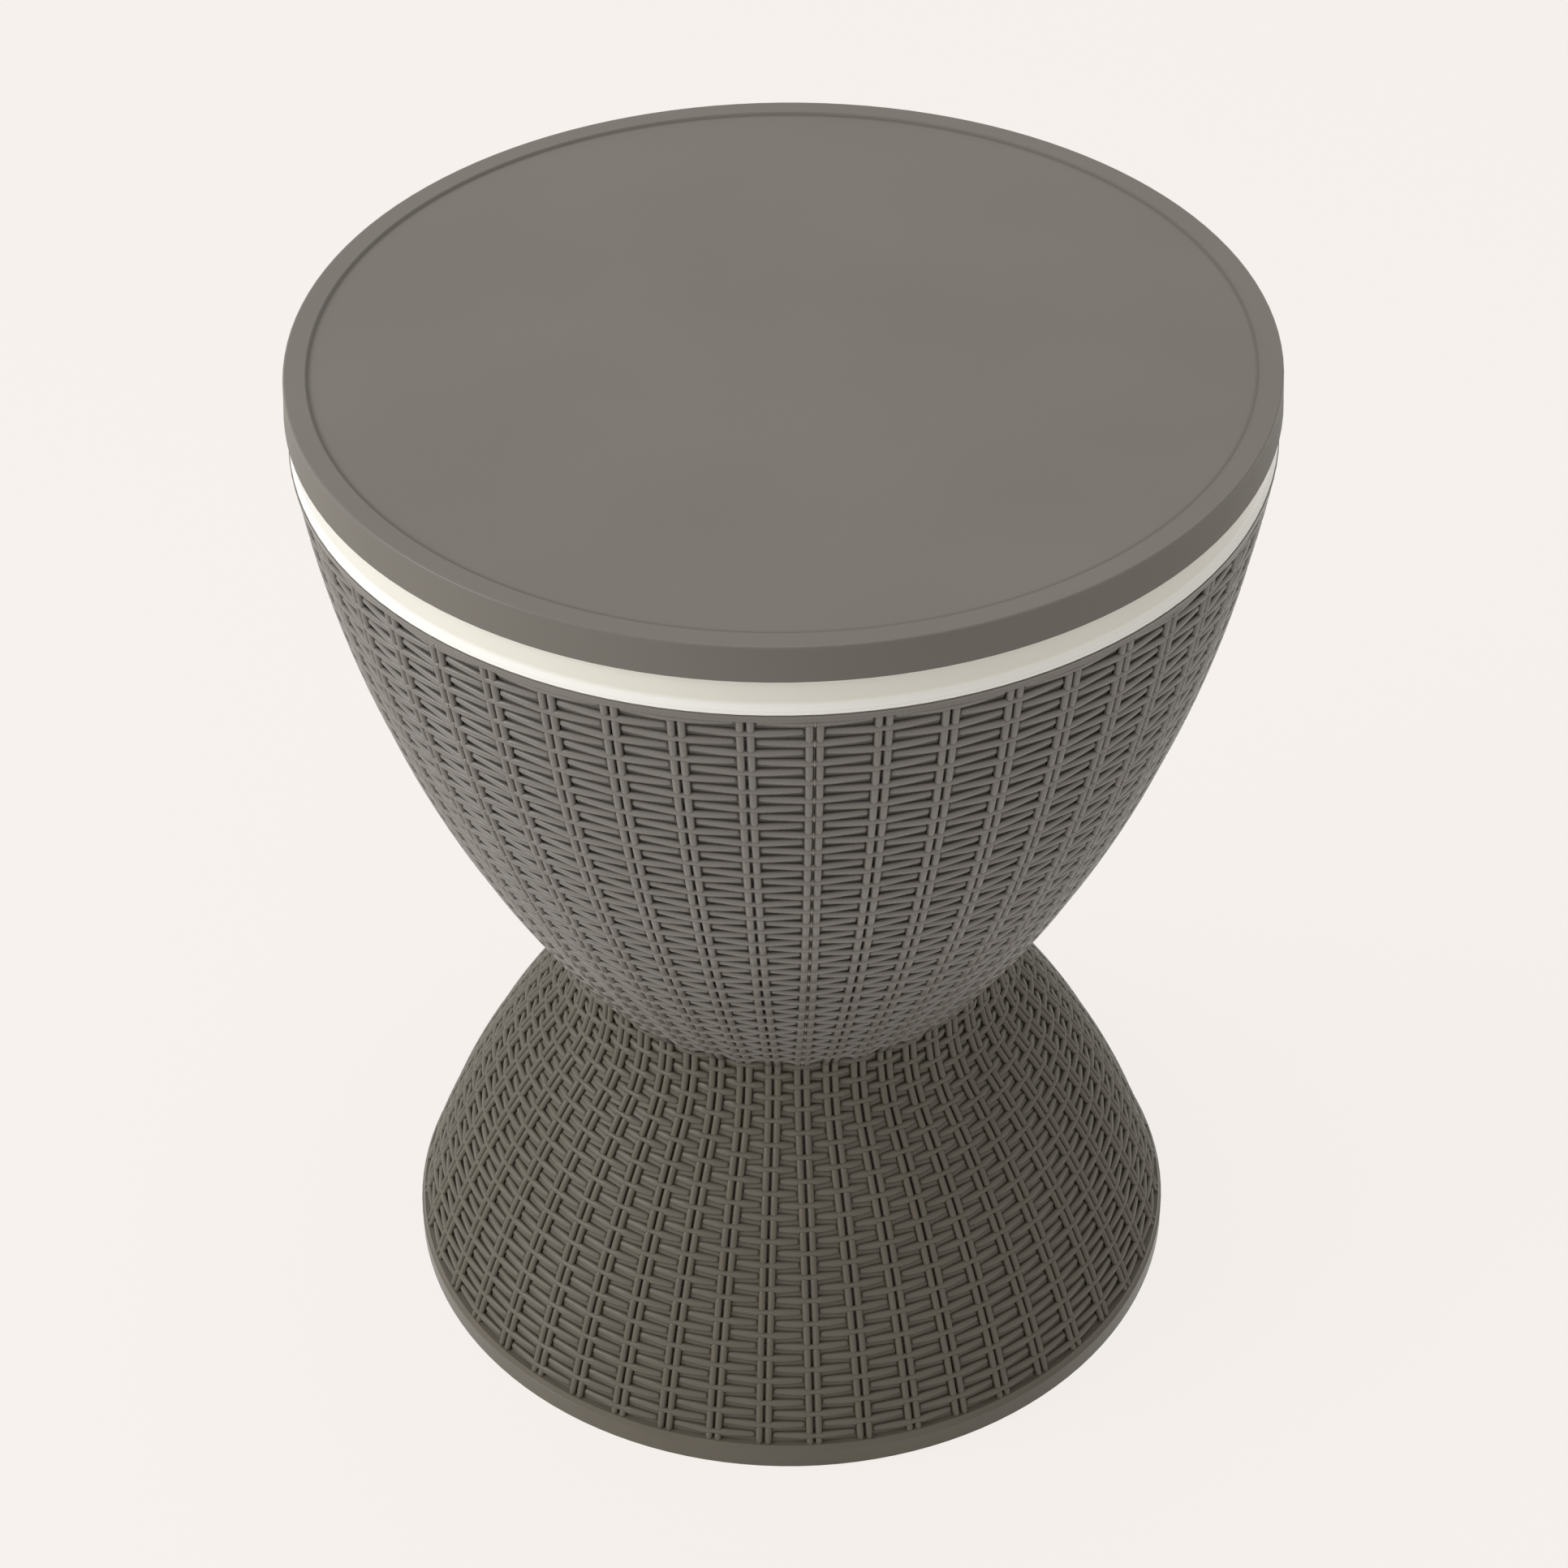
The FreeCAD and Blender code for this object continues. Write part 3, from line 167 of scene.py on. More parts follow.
for lamp_name, lamp_place, lamp_size, lamp_power in (
        ("left_softbox", (-2.4, -0.5, 1.6), 1.6, 33.0),
        ("right_softbox", (2.4, 0.9, 1.5), 1.6, 0.6),
        ("overhead_softbox", (0.0, 0.2, 2.6), 0.6, 9.0)):
    soft_lamp(lamp_name, lamp_place, lamp_size, lamp_power)

# %% Lay the floor
FLOOR_RADIUS = 8.0
FLOOR_LEVEL = -0.1 * MM               # a hair below the foot, so that their faces don't coincide
FLOOR_LIT = 0.08                      # share of the floor's look that comes from the lamps


def new_object(name, mesh):
    """An object at the origin that holds the finished mesh."""
    data = bpy.data.meshes.new(name)
    mesh.to_mesh(data)
    mesh.free()
    piece = bpy.data.objects.new(name, data)
    bpy.context.scene.collection.objects.link(piece)
    return piece


mesh = bmesh.new()
bmesh.ops.create_circle(mesh, cap_ends=True, segments=96, radius=FLOOR_RADIUS,
                        matrix=Matrix.Translation((0, 0, FLOOR_LEVEL)))
floor = new_object("floor", mesh)
material = bpy.data.materials.new("painted_studio_floor")
material.use_nodes = True
tree = material.node_tree
tree.nodes.clear()
lit = add_node(tree, "BsdfDiffuse", values={"Color": linear("#F2EEE9")})
even = add_node(tree, "Emission", values={"Color": linear(BACKDROP)})
share = add_node(tree, "Math", {"operation": "MULTIPLY"}, {1: 1 - FLOOR_LIT},
                 {0: seen_directly(tree)})
surface = add_node(tree, "MixShader", links={0: share.outputs[0], 1: lit.outputs[0], 2: even.outputs[0]})
add_node(tree, "OutputMaterial", links={"Surface": surface.outputs[0]})
floor.data.materials.append(material)
print("the floor is a disc of", FLOOR_RADIUS, "m radius")

# %% [markdown]
# The side of the bowl and of the bell
#
# Seen from the side, the bowl's wall is one long arc that bulges outwards. Below the waist the bell
# starts as a hollow arc, the throat, and runs smoothly into another bulging arc. The weave follows
# these lines, so they are kept as arcs that can be walked from the top down by their length.

# %% Describe the outlines
CASING_TOP = 0.5412
CASING_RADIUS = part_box("bowl_casing")[1].x
WAIST_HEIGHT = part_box("bowl_casing")[0].z
WAIST_RADIUS = 0.1191
BOWL_CURVE = 0.765
NECK_RADIUS = 0.1185
THROAT_CURVE = 0.0746
BELL_CURVE = 0.502
FOOT_BAND = 0.0115
FOOT_STEP = 0.8 * MM
FOOT_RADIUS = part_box("base_shell")[1].x


class Arc:
    """One stretch of an outline that goes downwards, as radius and height."""

    def __init__(self, centre, curve, start, finish, hollow=False):
        self.centre, self.curve = centre, curve
        self.bend = 1 if hollow else -1
        self.angle = self.angle_of(start)
        self.length = abs(self.angle_of(finish) - self.angle) * curve

    def angle_of(self, place):
        offset = (place - self.centre) * -self.bend
        return math.atan2(offset.y, offset.x)

    def at(self, along):
        """The place and the outward direction at a length from the arc's top."""
        angle = self.angle + self.bend * along / self.curve
        outwards = Vector((math.cos(angle), math.sin(angle)))
        return self.centre - outwards * (self.bend * self.curve), outwards

    def height_over(self, place):
        """How far a place lies outside the arc."""
        return ((place - self.centre).length - self.curve) * -self.bend


class Outline:
    """Arcs that follow one another from the top down."""

    def __init__(self, *arcs):
        self.arcs = arcs
        self.length = sum(arc.length for arc in arcs)

    def at(self, along):
        for arc in self.arcs[:-1]:
            if along <= arc.length:
                return arc.at(along)
            along -= arc.length
        return self.arcs[-1].at(along)


def arc_centre(start, finish, curve):
    """Centre of the arc that bulges outwards from start down to finish."""
    chord = finish - start
    inwards = Vector((chord.y, -chord.x)).normalized()
    return (start + finish) / 2 + inwards * math.sqrt(curve ** 2 - (chord.length / 2) ** 2)


bowl_top = Vector((CASING_RADIUS, CASING_TOP))
bowl_foot = Vector((WAIST_RADIUS, WAIST_HEIGHT))
bowl_line = Outline(Arc(arc_centre(bowl_top, bowl_foot, BOWL_CURVE), BOWL_CURVE, bowl_top, bowl_foot))

neck = Vector((NECK_RADIUS, WAIST_HEIGHT))
foot = Vector((FOOT_RADIUS - FOOT_STEP, FOOT_BAND))
throat_centre = neck + Vector((THROAT_CURVE, 0))
reach = BELL_CURVE + THROAT_CURVE
way = throat_centre - foot
along_way = (BELL_CURVE ** 2 - reach ** 2 + way.length_squared) / (2 * way.length)
beside_way = math.sqrt(BELL_CURVE ** 2 - along_way ** 2)
way.normalize()
bell_centre = foot + way * along_way + Vector((-way.y, way.x)) * beside_way
bend_place = bell_centre + (throat_centre - bell_centre).normalized() * BELL_CURVE
bell_line = Outline(Arc(throat_centre, THROAT_CURVE, neck, bend_place, hollow=True),
                    Arc(bell_centre, BELL_CURVE, bend_place, foot))
print("the bowl's side is", round(bowl_line.length, 4), "m long, the bell's", round(bell_line.length, 4))

# %% [markdown]
# The weave
#
# Real cane furniture has upright stakes in pairs, and round strands woven level in front of one pair
# and behind the next. The mould copies that: 48 pairs of rods, and about ninety level strands that
# change sides from row to row. A displacement map could fake it, but the strands overhang and the
# openings between them are deep and dark, so each strand is a tube of its own. One ring is modelled
# once: a round profile is spun round the axis with eight stops for each pair of rods. Each row is a
# copy of that ring, and every stop is moved to its place on the outline, in front or behind.

# %% Measure the weave
COLUMNS = 48
FIRST_COLUMN = math.radians(2.95)     # the first pair of rods, from the front towards the right
STOPS = 8                             # stops of a strand from one pair to the next
STRAND_DEPTH = 1.8 * MM               # half a strand's thickness, out from the wall
STRAND_HALF = 2.2 * MM                # half its height
ROD_RADIUS = 2.1 * MM
ROD_SPACING = 4.9 * MM                # from one rod of a pair to the other
ROD_DIP = 1.5 * MM                    # how far a rod bends back behind a strand


class Weave:
    """The rows of one woven surface."""

    def __init__(self, line, rows):
        self.line, self.rows = line, rows


bowl_rows = {row: (6.3 + 6.72 * row - 0.005 * row ** 2) * MM for row in range(55)}
bell_rows = {row: (27.5 + 6.54 * row) * MM for row in range(-4, 29)}
bowl_weave = Weave(bowl_line, bowl_rows)
bell_weave = Weave(bell_line, bell_rows)
print(len(bowl_rows), "rows on the bowl,", len(bell_rows), "on the bell")

# %% Spin one strand
def strand_ring():
    """A ring of one metre radius whose cross-section is the strand's. The strand's back is never
    seen, so its three points there become one."""
    ring = bmesh.new()
    bmesh.ops.create_circle(ring, segments=8, radius=1.0)
    bmesh.ops.scale(ring, vec=(STRAND_DEPTH, STRAND_HALF, 1), verts=ring.verts)
    upright = Matrix.Rotation(math.pi / 2, 4, "X")
    bmesh.ops.transform(ring, matrix=Matrix.Translation((1, 0, 0)) @ upright, verts=ring.verts)
    back = [vert for vert in ring.verts if vert.co.x < 1 - STRAND_DEPTH / 2]
    bmesh.ops.pointmerge(ring, verts=back, merge_co=Vector((1 - STRAND_DEPTH, 0, 0)))
    bmesh.ops.spin(ring, geom=ring.verts[:] + ring.edges[:], axis=(0, 0, 1), cent=(0, 0, 0),
                   angle=math.tau, steps=COLUMNS * STOPS, use_merge=True)
    bmesh.ops.recalc_face_normals(ring, faces=ring.faces)
    for face in ring.faces:
        face.smooth = True
    data = bpy.data.meshes.new("strand_ring")
    ring.to_mesh(data)
    ring.free()
    return data


ring_mesh = strand_ring()
print("one strand has", len(ring_mesh.polygons), "faces")

# %% Weave the strands
STRAND_STOPS = (
    (0, 0.0, 0.0, 0.78), (0, 3.4, 0.0, 0.78), (0, 5.0, 0.1, 1.12), (1 / 3, 1.3, 0.5, 1.08),
    (2 / 3, -2.5, 0.9, 1.02), (1, -6.3, 1.25, 0.95), (1, -5.3, 1.45, 0.88), (1, -4.8, 2.2, 0.65),
    (1, 0.0, 3.5, 0.5))
# From in front of one pair to behind the next: the share of the way and the millimetres beyond it,
# then how far the strand has dropped, in millimetres, and the share of its full height


def strand_stop(number, radius, row):
    """The turn round the axis, the drop and the share of its height at one stop of a strand."""
    column, stop = divmod(number, STOPS)
    pitch = math.tau / COLUMNS
    if (column + row) % 2 == 0:
        share, offset, drop, girth = STRAND_STOPS[stop]
        turn = share * pitch + offset * MM / radius
    else:
        share, offset, drop, girth = STRAND_STOPS[-1 - stop]
        turn = (1 - share) * pitch - offset * MM / radius
    return FIRST_COLUMN + column * pitch + turn, drop * MM, girth


def on_outline(place, outwards, turn, height, downwards, across=0.0):
    """A point by the outline: out from it, down along it, and sideways round the axis."""
    radius = place.x + outwards.x * height + outwards.y * downwards
    level = place.y + outwards.y * height - outwards.x * downwards
    sine, cosine = math.sin(turn), math.cos(turn)
    return Vector((radius * sine + across * cosine, -radius * cosine + across * sine, level))


def weave_strands(name, weave, rows):
    """One piece that holds the strands of the rows."""
    woven = bmesh.new()
    for row in rows:
        place, outwards = weave.line.at(weave.rows[row])
        first = len(woven.verts)
        woven.from_mesh(ring_mesh)
        woven.verts.ensure_lookup_table()
        stops = [strand_stop(number, place.x, row) for number in range(COLUMNS * STOPS)]
        for vert in woven.verts[first:]:
            x, y, z = vert.co
            number = round(math.atan2(y, x) / math.tau * COLUMNS * STOPS) % (COLUMNS * STOPS)
            turn, drop, girth = stops[number]
            height = math.hypot(x, y) - 1 - STRAND_DEPTH - drop
            vert.co = on_outline(place, outwards, turn, height, z * girth)
    return new_object(name, woven)


half = len(bowl_rows) // 2
strands = [weave_strands("bowl_strands_upper", bowl_weave, range(half)),
           weave_strands("bowl_strands_lower", bowl_weave, range(half, len(bowl_rows))),
           weave_strands("bell_strands", bell_weave, bell_rows)]
for piece in strands:
    print(piece.name, len(piece.data.polygons), "faces")

# %% [markdown]
# The upright rods
#
# The two rods of a pair stand a millimetre apart. Where a strand passes in front of them they bend
# back, and between such strands they show as short round-ended bars. A rod is a circle extruded stop
# by stop, five stops round each crossing and one midway, and every pair is a copy of it. Its back is
# never seen, so the back of the circle is a single point. Which rows cross in front depends on the
# pair, so there is one rod for the even pairs and one for the odd.

# %% Set up the rods
CROSSING_STOPS = ((-2.6, 0.0), (-1.5, 0.15), (0.0, 1.0), (1.5, 0.15), (2.6, 0.0))
BAND_DEPTH = 4.2 * MM                 # plain band above the bowl's first row
RIDGE_HEIGHT = 3.0 * MM               # plain ridge above the foot band


def crossing_stops(weave, parity, start, finish, crossing, depth):
    """Places along the outline and dips of a rail's stops, from its upper end down: the crossing's
    stops at each row of that parity, and one at each other row."""
    stops = [(start, 0.0)]
    for row, middle in weave.rows.items():
        around = crossing if row % 2 == parity else ((0.0, crossing[0][1]),)
        stops += [(middle + offset * MM, dip * depth) for offset, dip in around]
    return [stop for stop in stops if start <= stop[0] < finish] + [(finish, 0.0)]


def add_rail(mesh, stops, across, segments, radius):
    """A straight rail beside the axis, with a stop at each whole metre. Its front is towards +Y."""
    start = Matrix.Translation((across, 0, 0))
    made = bmesh.ops.create_circle(mesh, segments=segments, radius=radius, matrix=start)
    back = [vert for vert in made["verts"] if vert.co.y < -radius / 2]
    bmesh.ops.pointmerge(mesh, verts=back, merge_co=(across, -radius, 0))
    edges = list({edge for vert in made["verts"] if vert.is_valid for edge in vert.link_edges})
    for _ in range(len(stops) - 1):
        grown = bmesh.ops.extrude_edge_only(mesh, edges=edges)["geom"]
        edges = [item for item in grown if isinstance(item, bmesh.types.BMEdge)]
        tip = [item for item in grown if isinstance(item, bmesh.types.BMVert)]
        bmesh.ops.translate(mesh, vec=(0, 0, 1), verts=tip)


def rail_mesh(name, stops, places, segments, radius):
    """Closed rails side by side."""
    rails = bmesh.new()
    for across in places:
        add_rail(rails, stops, across, segments, radius)
    bmesh.ops.holes_fill(rails, edges=[edge for edge in rails.edges if edge.is_boundary])
    bmesh.ops.recalc_face_normals(rails, faces=rails.faces)
    for face in rails.faces:
        face.smooth = len(face.verts) == 4
    data = bpy.data.meshes.new(name)
    rails.to_mesh(data)
    rails.free()
    return data


def stand_rails(woven, rails, line, stops, turn, crest):
    """Copies the rails into the mesh, bent along the outline. The crest is the height of a stop
    that has no dip."""
    spots = [(line.at(along), crest - dip) for along, dip in stops]
    first = len(woven.verts)
    woven.from_mesh(rails)
    woven.verts.ensure_lookup_table()
    for vert in woven.verts[first:]:
        (place, outwards), height = spots[round(vert.co.z)]
        vert.co = on_outline(place, outwards, turn, vert.co.y + height, 0.0, vert.co.x)


def stand_rods(name, weave, start, finish):
    """One piece that holds all the rods of a woven surface."""
    woven = bmesh.new()
    for parity in (0, 1):
        stops = crossing_stops(weave, parity, start, finish, CROSSING_STOPS, ROD_DIP)
        pair = rail_mesh("rod_pair", stops, (-ROD_SPACING / 2, ROD_SPACING / 2), 8, ROD_RADIUS)
        for column in range(parity, COLUMNS, 2):
            turn = FIRST_COLUMN + column * math.tau / COLUMNS
            stand_rails(woven, pair, weave.line, stops, turn, -ROD_RADIUS)
        print(name, "has", len(stops), "stops in a rod of the", ("even", "odd")[parity], "pairs")
    return new_object(name, woven)


# %% Stand the rods
rods = [stand_rods("bowl_rods", bowl_weave, BAND_DEPTH - 1 * MM, bowl_line.length),
        stand_rods("bell_rods", bell_weave, 0.0, bell_line.length - RIDGE_HEIGHT + 1 * MM)]
for piece in rods:
    print(piece.name, len(piece.data.polygons), "faces")

# %% [markdown]
# The mould's parting lines
#
# The bowl's mould opens in eight parts, and each joint left a thin fin between the rods of every sixth
# pair. It shows as short dashes where it runs over the strands, so it is a thin rail that dips
# between them.

# %% Raise the parting lines
PARTING_LINES = 8
FIN_RADIUS = 0.28 * MM
FIN_DIP = 3.0 * MM
FIN_STOPS = ((-2.0, 1.0), (-1.2, 0.0), (1.2, 0.0), (2.0, 1.0))

fins = bmesh.new()
stops = crossing_stops(bowl_weave, 0, 0.0, bowl_line.length, FIN_STOPS, FIN_DIP)
fin = rail_mesh("fin", stops, (0.0,), 4, FIN_RADIUS)
for line in range(PARTING_LINES):
    stand_rails(fins, fin, bowl_line, stops, FIRST_COLUMN + line * math.tau / PARTING_LINES, 0.0)
fin_piece = new_object("bowl_parting_lines", fins)
print("the parting lines have", len(fin_piece.data.polygons), "faces")

# %% [markdown]
# The shells behind the weave
#
# In the model the bowl and the bell carry flat stakes, out to the crests of the weave. Behind the weave
# the real wall lies almost five millimetres deeper. So the woven part of each wall is a merged copy of
# the model's own shell, cut round where the plain bands start, with its faces pulled in: the stakes to
# the backs of the rods, the fields between them to the backs of the strands, and the inner face to
# keep the wall's thickness. The bands stay where they are.

# %% Pull the walls in behind the weave
FIELD_DEPTH = 1.6 * MM                # of the model's fields behind its stakes
STAKE_PULL = 4.4 * MM
BOWL_FIELD_PULL = 1.5 * MM
BELL_FIELD_PULL = 1.6 * MM
BOWL_WALL = 4.6 * MM                  # from the stakes' fronts to the wall's inner face
BELL_WALL = 5.1 * MM
NEAR = 0.3 * MM                       # how far the mesh may lie off the true outline
STEP = 0.2 * MM                       # height of the step from a band down to the wall
SHARP_ANGLE = math.radians(30)


def merged_copy(node):
    """The node's mesh as one connected surface."""
    copy = bmesh.new()
    copy.from_mesh(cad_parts[node].data)
    bmesh.ops.remove_doubles(copy, verts=copy.verts, dist=0.001 * MM)
    return copy


def cut_round(shell, level):
    """Adds a loop of edges at a height."""
    bmesh.ops.bisect_plane(shell, geom=shell.verts[:] + shell.edges[:] + shell.faces[:], dist=0.0001 * MM,
                           plane_co=(0, 0, level), plane_no=(0, 0, 1))


def pull_in(shell, line, low, high, depth, pull):
    """Pulls the face that lies at a depth behind the outline further in, between two heights."""
    for vert in shell.verts:
        if not low < vert.co.z < high:
            continue
        place = Vector((math.hypot(vert.co.x, vert.co.y), vert.co.z))
        arc = line.arcs[-1] if len(line.arcs) == 1 or vert.co.z < bend_place.y else line.arcs[0]
        if abs(arc.height_over(place) + depth) > NEAR:
            continue
        outwards = (place - arc.centre).normalized() * -arc.bend
        pulled = place - outwards * pull
        vert.co.x *= pulled.x / place.x
        vert.co.y *= pulled.x / place.x
        vert.co.z = min(max(pulled.y, low), vert.co.z) if pull > SLOT_DEPTH else vert.co.z


def pull_wall(shell, line, low, high, wall, field_pull):
    """Pulls in the inner face of a wall, then its fields, then its stakes."""
    for depth, pull in ((wall, field_pull), (FIELD_DEPTH, field_pull), (0, STAKE_PULL)):
        pull_in(shell, line, low, high, depth, pull)


def finished_shell(name, shell):
    """An object whose wide-angled edges are smooth and whose corners stay sharp."""
    bmesh.ops.recalc_face_normals(shell, faces=shell.faces)
    for face in shell.faces:
        face.smooth = True
    for edge in shell.edges:
        edge.smooth = edge.calc_face_angle(math.pi) < SHARP_ANGLE
    return new_object(name, shell)


# %% Make the bowl's shell
band_foot = CASING_TOP - BAND_DEPTH
groove = bowl_line.at(2.3 * MM)[0].y
GROOVE_HALF = 0.35 * MM
GROOVE_DEPTH = 0.15 * MM
SLOT_HEIGHT = 0.7 * MM                # dark joint between the band and the white ring above it
SLOT_DEPTH = 1.8 * MM

shell = merged_copy("bowl_casing")
for level in (band_foot, band_foot - STEP, groove - GROOVE_HALF, groove, groove + GROOVE_HALF,
              CASING_TOP - SLOT_HEIGHT):
    cut_round(shell, level)
pull_wall(shell, bowl_line, WAIST_HEIGHT - NEAR, band_foot - STEP / 2, BOWL_WALL, BOWL_FIELD_PULL)
pull_in(shell, bowl_line, CASING_TOP - SLOT_HEIGHT / 2, CASING_TOP + NEAR, 0, SLOT_DEPTH)
pull_in(shell, bowl_line, groove - GROOVE_HALF / 2, groove + GROOVE_HALF / 2, 0, GROOVE_DEPTH)
bowl_shell = finished_shell("bowl_shell", shell)
print(bowl_shell.name, len(bowl_shell.data.polygons), "faces")

# %% Make the bell's shell
ridge_top = FOOT_BAND + RIDGE_HEIGHT
shell = merged_copy("base_shell")
for level in (ridge_top, ridge_top + STEP):
    cut_round(shell, level)
pull_wall(shell, bell_line, ridge_top + STEP / 2, WAIST_HEIGHT + NEAR, BELL_WALL, BELL_FIELD_PULL)
bell_shell = finished_shell("bell_shell", shell)
print(bell_shell.name, len(bell_shell.data.polygons), "faces")

# %% Fix the new pieces to the table
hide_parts("bowl_casing")
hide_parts("base_shell")
for piece in (bowl_shell, bell_shell, *strands, *rods, fin_piece):
    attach(piece, "root")
print("all the woven pieces ride on the fixed body")

# %% [markdown]
# The plastics
#
# The wicker, the lid and its cover are moulded polypropylene with its colour mixed in, a warm grey
# brown. Moulded plastic shows a soft, wide highlight, a very fine grain from the etched mould, and
# slight drifts in gloss and tone. The lid is etched a little coarser than the wicker. The liner is
# the same plastic in cream white, and smoother.

# %% A moulded plastic
def moulded_plastic(name, dark, light, roughness, grain, bump, drift=40.0 * MM, specular=0.5):
    """A plastic whose tone drifts between two close colours, with a fine etched grain. Grain and
    drift are real sizes, bump is the height of the grain."""
    finish = bpy.data.materials.new(name)
    finish.use_nodes = True
    tree = finish.node_tree
    tree.nodes.clear()
    place = add_node(tree, "TexCoord").outputs["Object"]
    drifts = add_node(tree, "TexNoise", values={"Scale": 1 / drift, "Detail": 2.0}, links={"Vector": place})
    grains = add_node(tree, "TexNoise", values={"Scale": 1 / grain, "Detail": 3.0}, links={"Vector": place})
    tone = add_node(tree, "ValToRGB", links={"Fac": drifts.outputs["Fac"]})
    tone.color_ramp.elements[0].position, tone.color_ramp.elements[1].position = 0.3, 0.7
    tone.color_ramp.elements[0].color, tone.color_ramp.elements[1].color = linear(dark), linear(light)
    gloss = add_node(tree, "MapRange", values={"To Min": roughness - 0.04, "To Max": roughness + 0.04},
                     links={"Value": grains.outputs["Fac"]})
    bumps = add_node(tree, "Bump", values={"Distance": bump, "Strength": 1.0},
                     links={"Height": grains.outputs["Fac"]})
    shader = add_node(tree, "BsdfPrincipled", values={"IOR": 1.49, "Specular IOR Level": specular}, links={
        "Base Color": tone.outputs["Color"], "Roughness": gloss.outputs["Result"],
        "Normal": bumps.outputs["Normal"]})
    add_node(tree, "OutputMaterial", links={"Surface": shader.outputs["BSDF"]})
    return finish


wicker_plastic = moulded_plastic("moulded_wicker_polypropylene", "#726E69", "#77736E", 0.28, 0.6 * MM,
                                 0.02 * MM, specular=0.5)
# The bell's plastic is darker and warmer than the bowl's
bell_plastic = moulded_plastic("darker_batch_polypropylene", "#605B51", "#645F55", 0.34, 0.6 * MM,
                               0.02 * MM, specular=0.32)
# The fin's plastic is paler than the wicker: a painted highlight for the light that its thin edge catches
fin_highlight_plastic = moulded_plastic("thin_mould_flash", "#958F87", "#9D978E", 0.35, 0.6 * MM, 0.0)
lid_plastic = moulded_plastic("etched_lid_polypropylene", "#716D67", "#74706A", 0.52, 0.5 * MM, 0.03 * MM,
                              drift=120 * MM, specular=0.22)
cream_plastic = moulded_plastic("smooth_cream_polypropylene", "#E2E0D7", "#E5E3DA", 0.14, 1.5 * MM,
                                0.01 * MM, drift=80 * MM)
black_plastic = moulded_plastic("black_nylon", "#262524", "#2B2A29", 0.42, 0.7 * MM, 0.03 * MM)
print("plastics:", wicker_plastic.name, lid_plastic.name, cream_plastic.name, black_plastic.name)

# %% [markdown]
# Lines of painted shade and painted highlight on the lid and on the white ring
#
# The lid's raised edge ends in a soft step, and a line of painted shade darkens the plastic there.
# Hands have polished its rounded outer edge. The white ring is painted paler along its foot and in a
# line under the lid: painted highlights where its edges catch the light.

# %% Draw the lines
STEP_LINE = (235.2 * MM, 578.9 * MM)  # radius and height
OUTER_EDGE = (247.0 * MM, 579.5 * MM)


def near_ring(tree, ring, width):
    """One on a level ring round the axis, falling to zero at a width all round it."""
    place = add_node(tree, "TexCoord").outputs["Object"]
    level = add_node(tree, "VectorMath", {"operation": "MULTIPLY"}, {1: (1, 1, 0)}, {0: place})
    away = add_node(tree, "VectorMath", {"operation": "LENGTH"}, links={0: level.outputs["Vector"]})
    height = add_node(tree, "SeparateXYZ", links={0: place}).outputs["Z"]
    spot = add_node(tree, "CombineXYZ", links={"X": away.outputs["Value"], "Y": height})
    gap = add_node(tree, "VectorMath", {"operation": "DISTANCE"}, {1: (*ring, 0)}, {0: spot.outputs["Vector"]})
    return add_node(tree, "MapRange", values={"From Max": width, "To Min": 1.0, "To Max": 0.0},
                    links={"Value": gap.outputs["Value"]}).outputs["Result"]


def paint(finish, share, colour):
    """Mixes a colour into a finish, as far as the share says."""
    tree = finish.node_tree
    inlet = tree.nodes["Principled BSDF"].inputs["Base Color"]
    mixed = add_node(tree, "MixRGB", values={"Color2": linear(colour)},
                     links={"Fac": share, "Color1": inlet.links[0].from_socket})
    tree.links.new(mixed.outputs["Color"], inlet)


tree = lid_plastic.node_tree
# Painted shade: the lid is darkened in a soft line along the step inside its raised edge
paint(lid_plastic, near_ring(tree, STEP_LINE, 2.2 * MM), "#5F5B56")
polish = add_node(tree, "Math", {"operation": "MULTIPLY"}, {1: 0.28}, {0: near_ring(tree, OUTER_EDGE, 1.6 * MM)})
inlet = tree.nodes["Principled BSDF"].inputs["Roughness"]
smooth = add_node(tree, "Math", {"operation": "SUBTRACT"},
                  links={0: inlet.links[0].from_socket, 1: polish.outputs[0]})
tree.links.new(smooth.outputs[0], inlet)

# Painted highlights: the white ring is paled along its foot and in a line under the lid, where its edges catch the
# light
tree = cream_plastic.node_tree
height = add_node(tree, "SeparateXYZ", links={0: add_node(tree, "TexCoord").outputs["Object"]}).outputs["Z"]
share = add_node(tree, "MapRange", values={"From Min": CASING_TOP, "From Max": CASING_TOP + 20 * MM},
                 links={"Value": height}).outputs["Result"]
edges = add_node(tree, "ValToRGB", links={"Fac": share})
highlight_ramp = edges.color_ramp
highlight_ramp.elements[0].color, highlight_ramp.elements[1].color = (1, 1, 1, 1), (1, 1, 1, 1)
for spot, level in ((0.06, 1.0), (0.08, 0.5), (0.11, 1.0), (0.24, 0.9), (0.36, 0.0), (0.84, 0.0), (0.94, 0.9)):
    highlight_ramp.elements.new(spot).color = (level, level, level, 1)
paint(cream_plastic, edges.outputs["Color"], "#F6F6F2")
print("the step line lies", round(STEP_LINE[0], 4), "m from the axis")

# %% [markdown]
# Metal and rubber
#
# The column is drawn aluminium tube with a satin anodised skin. Its faint lines run along the tube,
# and they stretch the highlight across it. The screws are zinc-plated steel, a little bluer and
# brighter. The seals are matt black rubber and the drain's stopper is softer grey rubber.

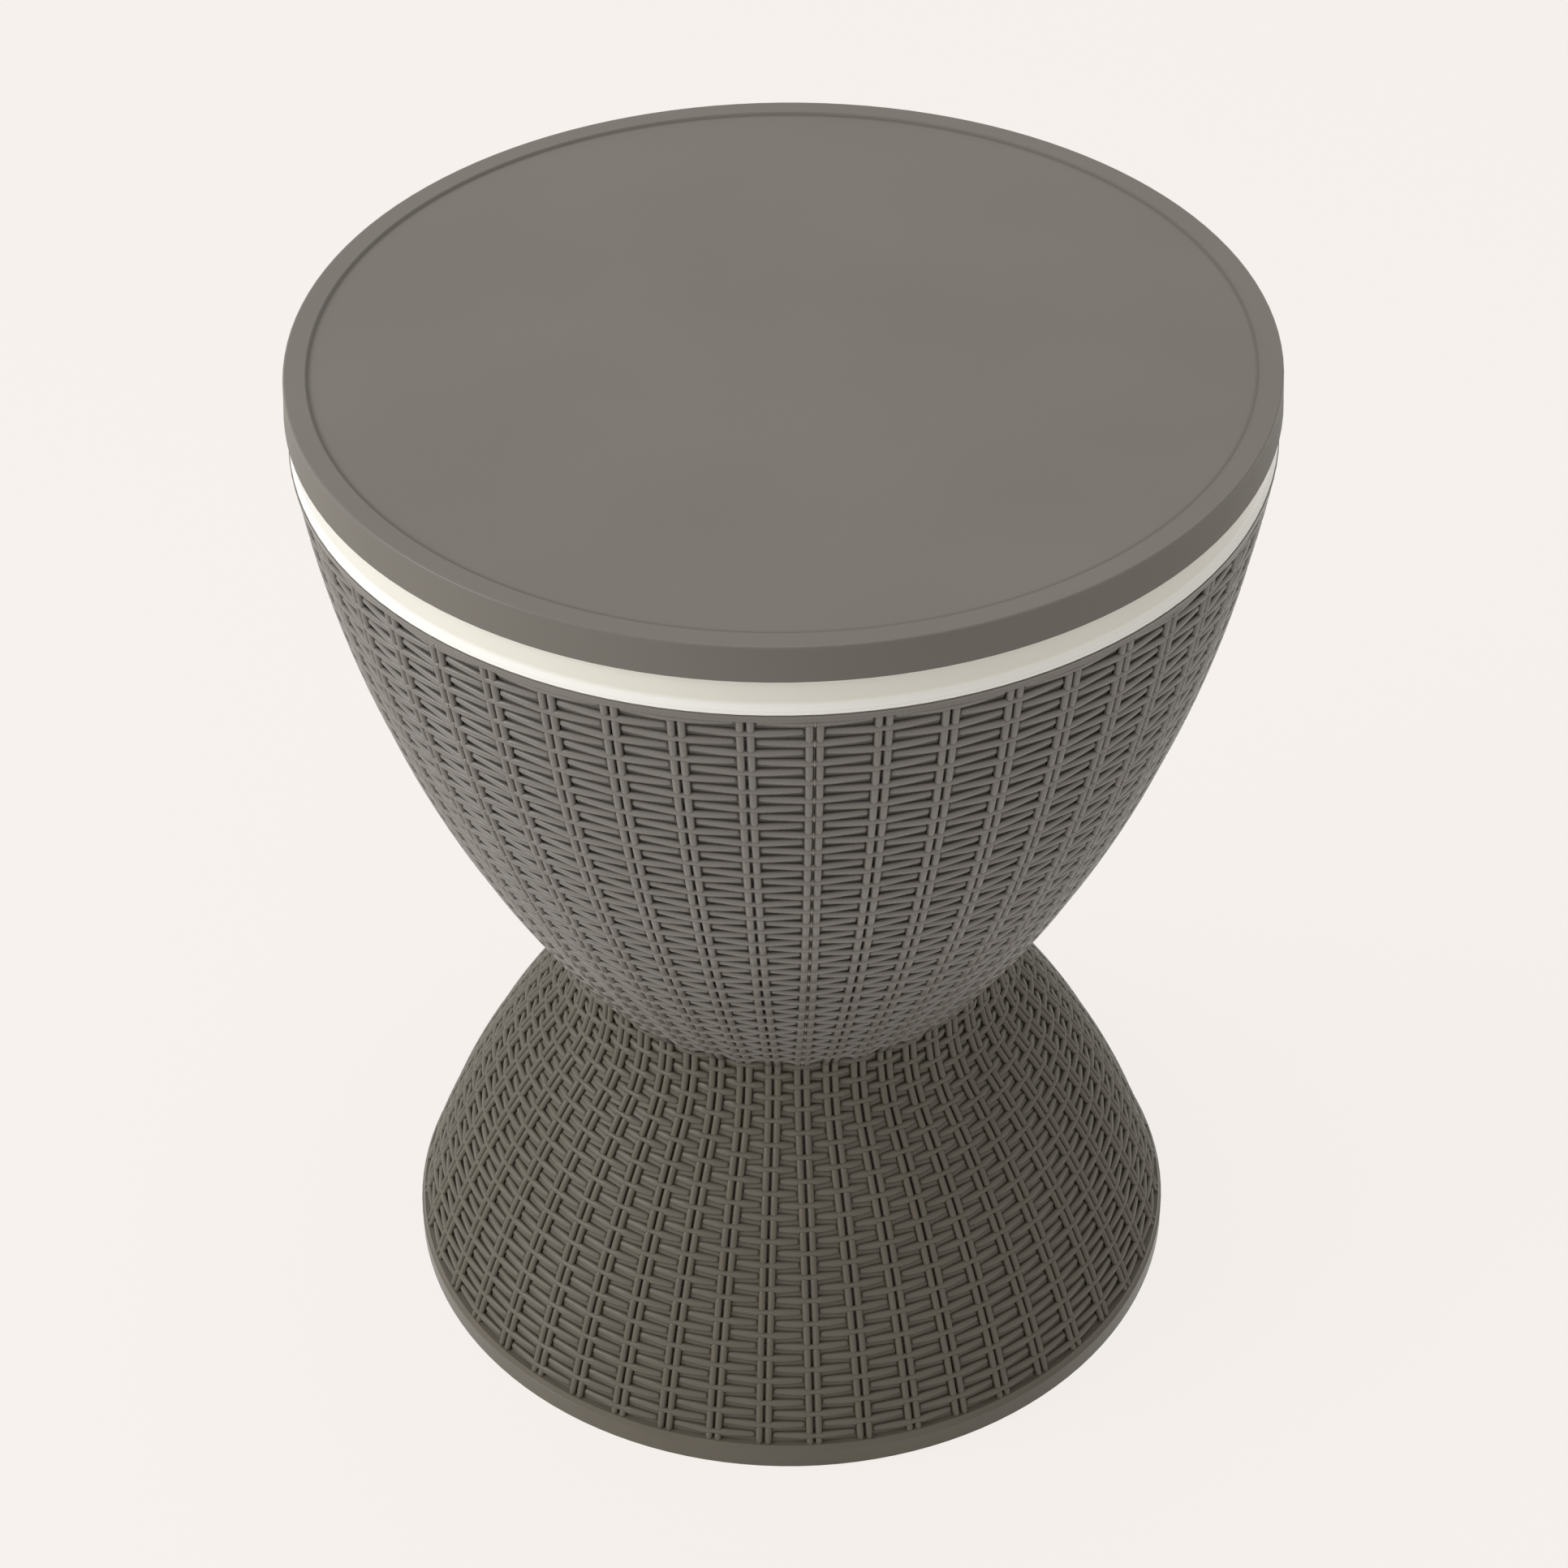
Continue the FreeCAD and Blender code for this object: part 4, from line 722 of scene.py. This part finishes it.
# %% A metal with drawn lines
def satin_metal(name, colour, roughness, line_width, bump):
    """A metal whose faint lines run along the table's axis."""
    finish = bpy.data.materials.new(name)
    finish.use_nodes = True
    tree = finish.node_tree
    tree.nodes.clear()
    place = add_node(tree, "TexCoord").outputs["Object"]
    drawn = add_node(tree, "Mapping", values={"Scale": (1, 1, 0.02)}, links={"Vector": place})
    lines = add_node(tree, "TexNoise", values={"Scale": 1 / line_width, "Detail": 2.0},
                     links={"Vector": drawn.outputs["Vector"]})
    gloss = add_node(tree, "MapRange", values={"To Min": roughness - 0.07, "To Max": roughness + 0.07},
                     links={"Value": lines.outputs["Fac"]})
    bumps = add_node(tree, "Bump", values={"Distance": bump, "Strength": 1.0},
                     links={"Height": lines.outputs["Fac"]})
    shader = add_node(tree, "BsdfPrincipled", values={"Base Color": linear(colour), "Metallic": 1.0}, links={
        "Roughness": gloss.outputs["Result"], "Normal": bumps.outputs["Normal"]})
    add_node(tree, "OutputMaterial", links={"Surface": shader.outputs["BSDF"]})
    return finish


satin_aluminium = satin_metal("satin_anodised_aluminium", "#BDBEC0", 0.30, 0.5 * MM, 0.01 * MM)
zinc_steel = satin_metal("zinc_plated_steel", "#A9ACAE", 0.34, 0.8 * MM, 0.01 * MM)
black_rubber = moulded_plastic("black_rubber", "#1E1E1E", "#232322", 0.78, 0.5 * MM, 0.03 * MM)
grey_rubber = moulded_plastic("soft_grey_rubber", "#4A4948", "#4F4E4D", 0.70, 0.5 * MM, 0.03 * MM)
print("metals and rubbers:", satin_aluminium.name, zinc_steel.name, black_rubber.name, grey_rubber.name)

# %% Give every piece its finish
FINISHES = {
    "wicker_casing": wicker_plastic, "table_plastic": lid_plastic, "white_plastic": cream_plastic,
    "dark_plastic": black_plastic, "tube_aluminium": satin_aluminium, "screw_steel": zinc_steel,
    "seal_rubber": black_rubber, "stopper_rubber": grey_rubber}

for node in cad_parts.values():
    for place in node.material_slots:
        place.material = FINISHES[place.material.name.split(".")[0]]
for piece in (bowl_shell, bell_shell, *strands, *rods, fin_piece):
    own = {"bell": bell_plastic, "bowl": wicker_plastic}[piece.name[:4]]
    piece.data.materials.clear()
    piece.data.materials.append(fin_highlight_plastic if piece is fin_piece else own)
print(len(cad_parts), "model nodes have their finishes")
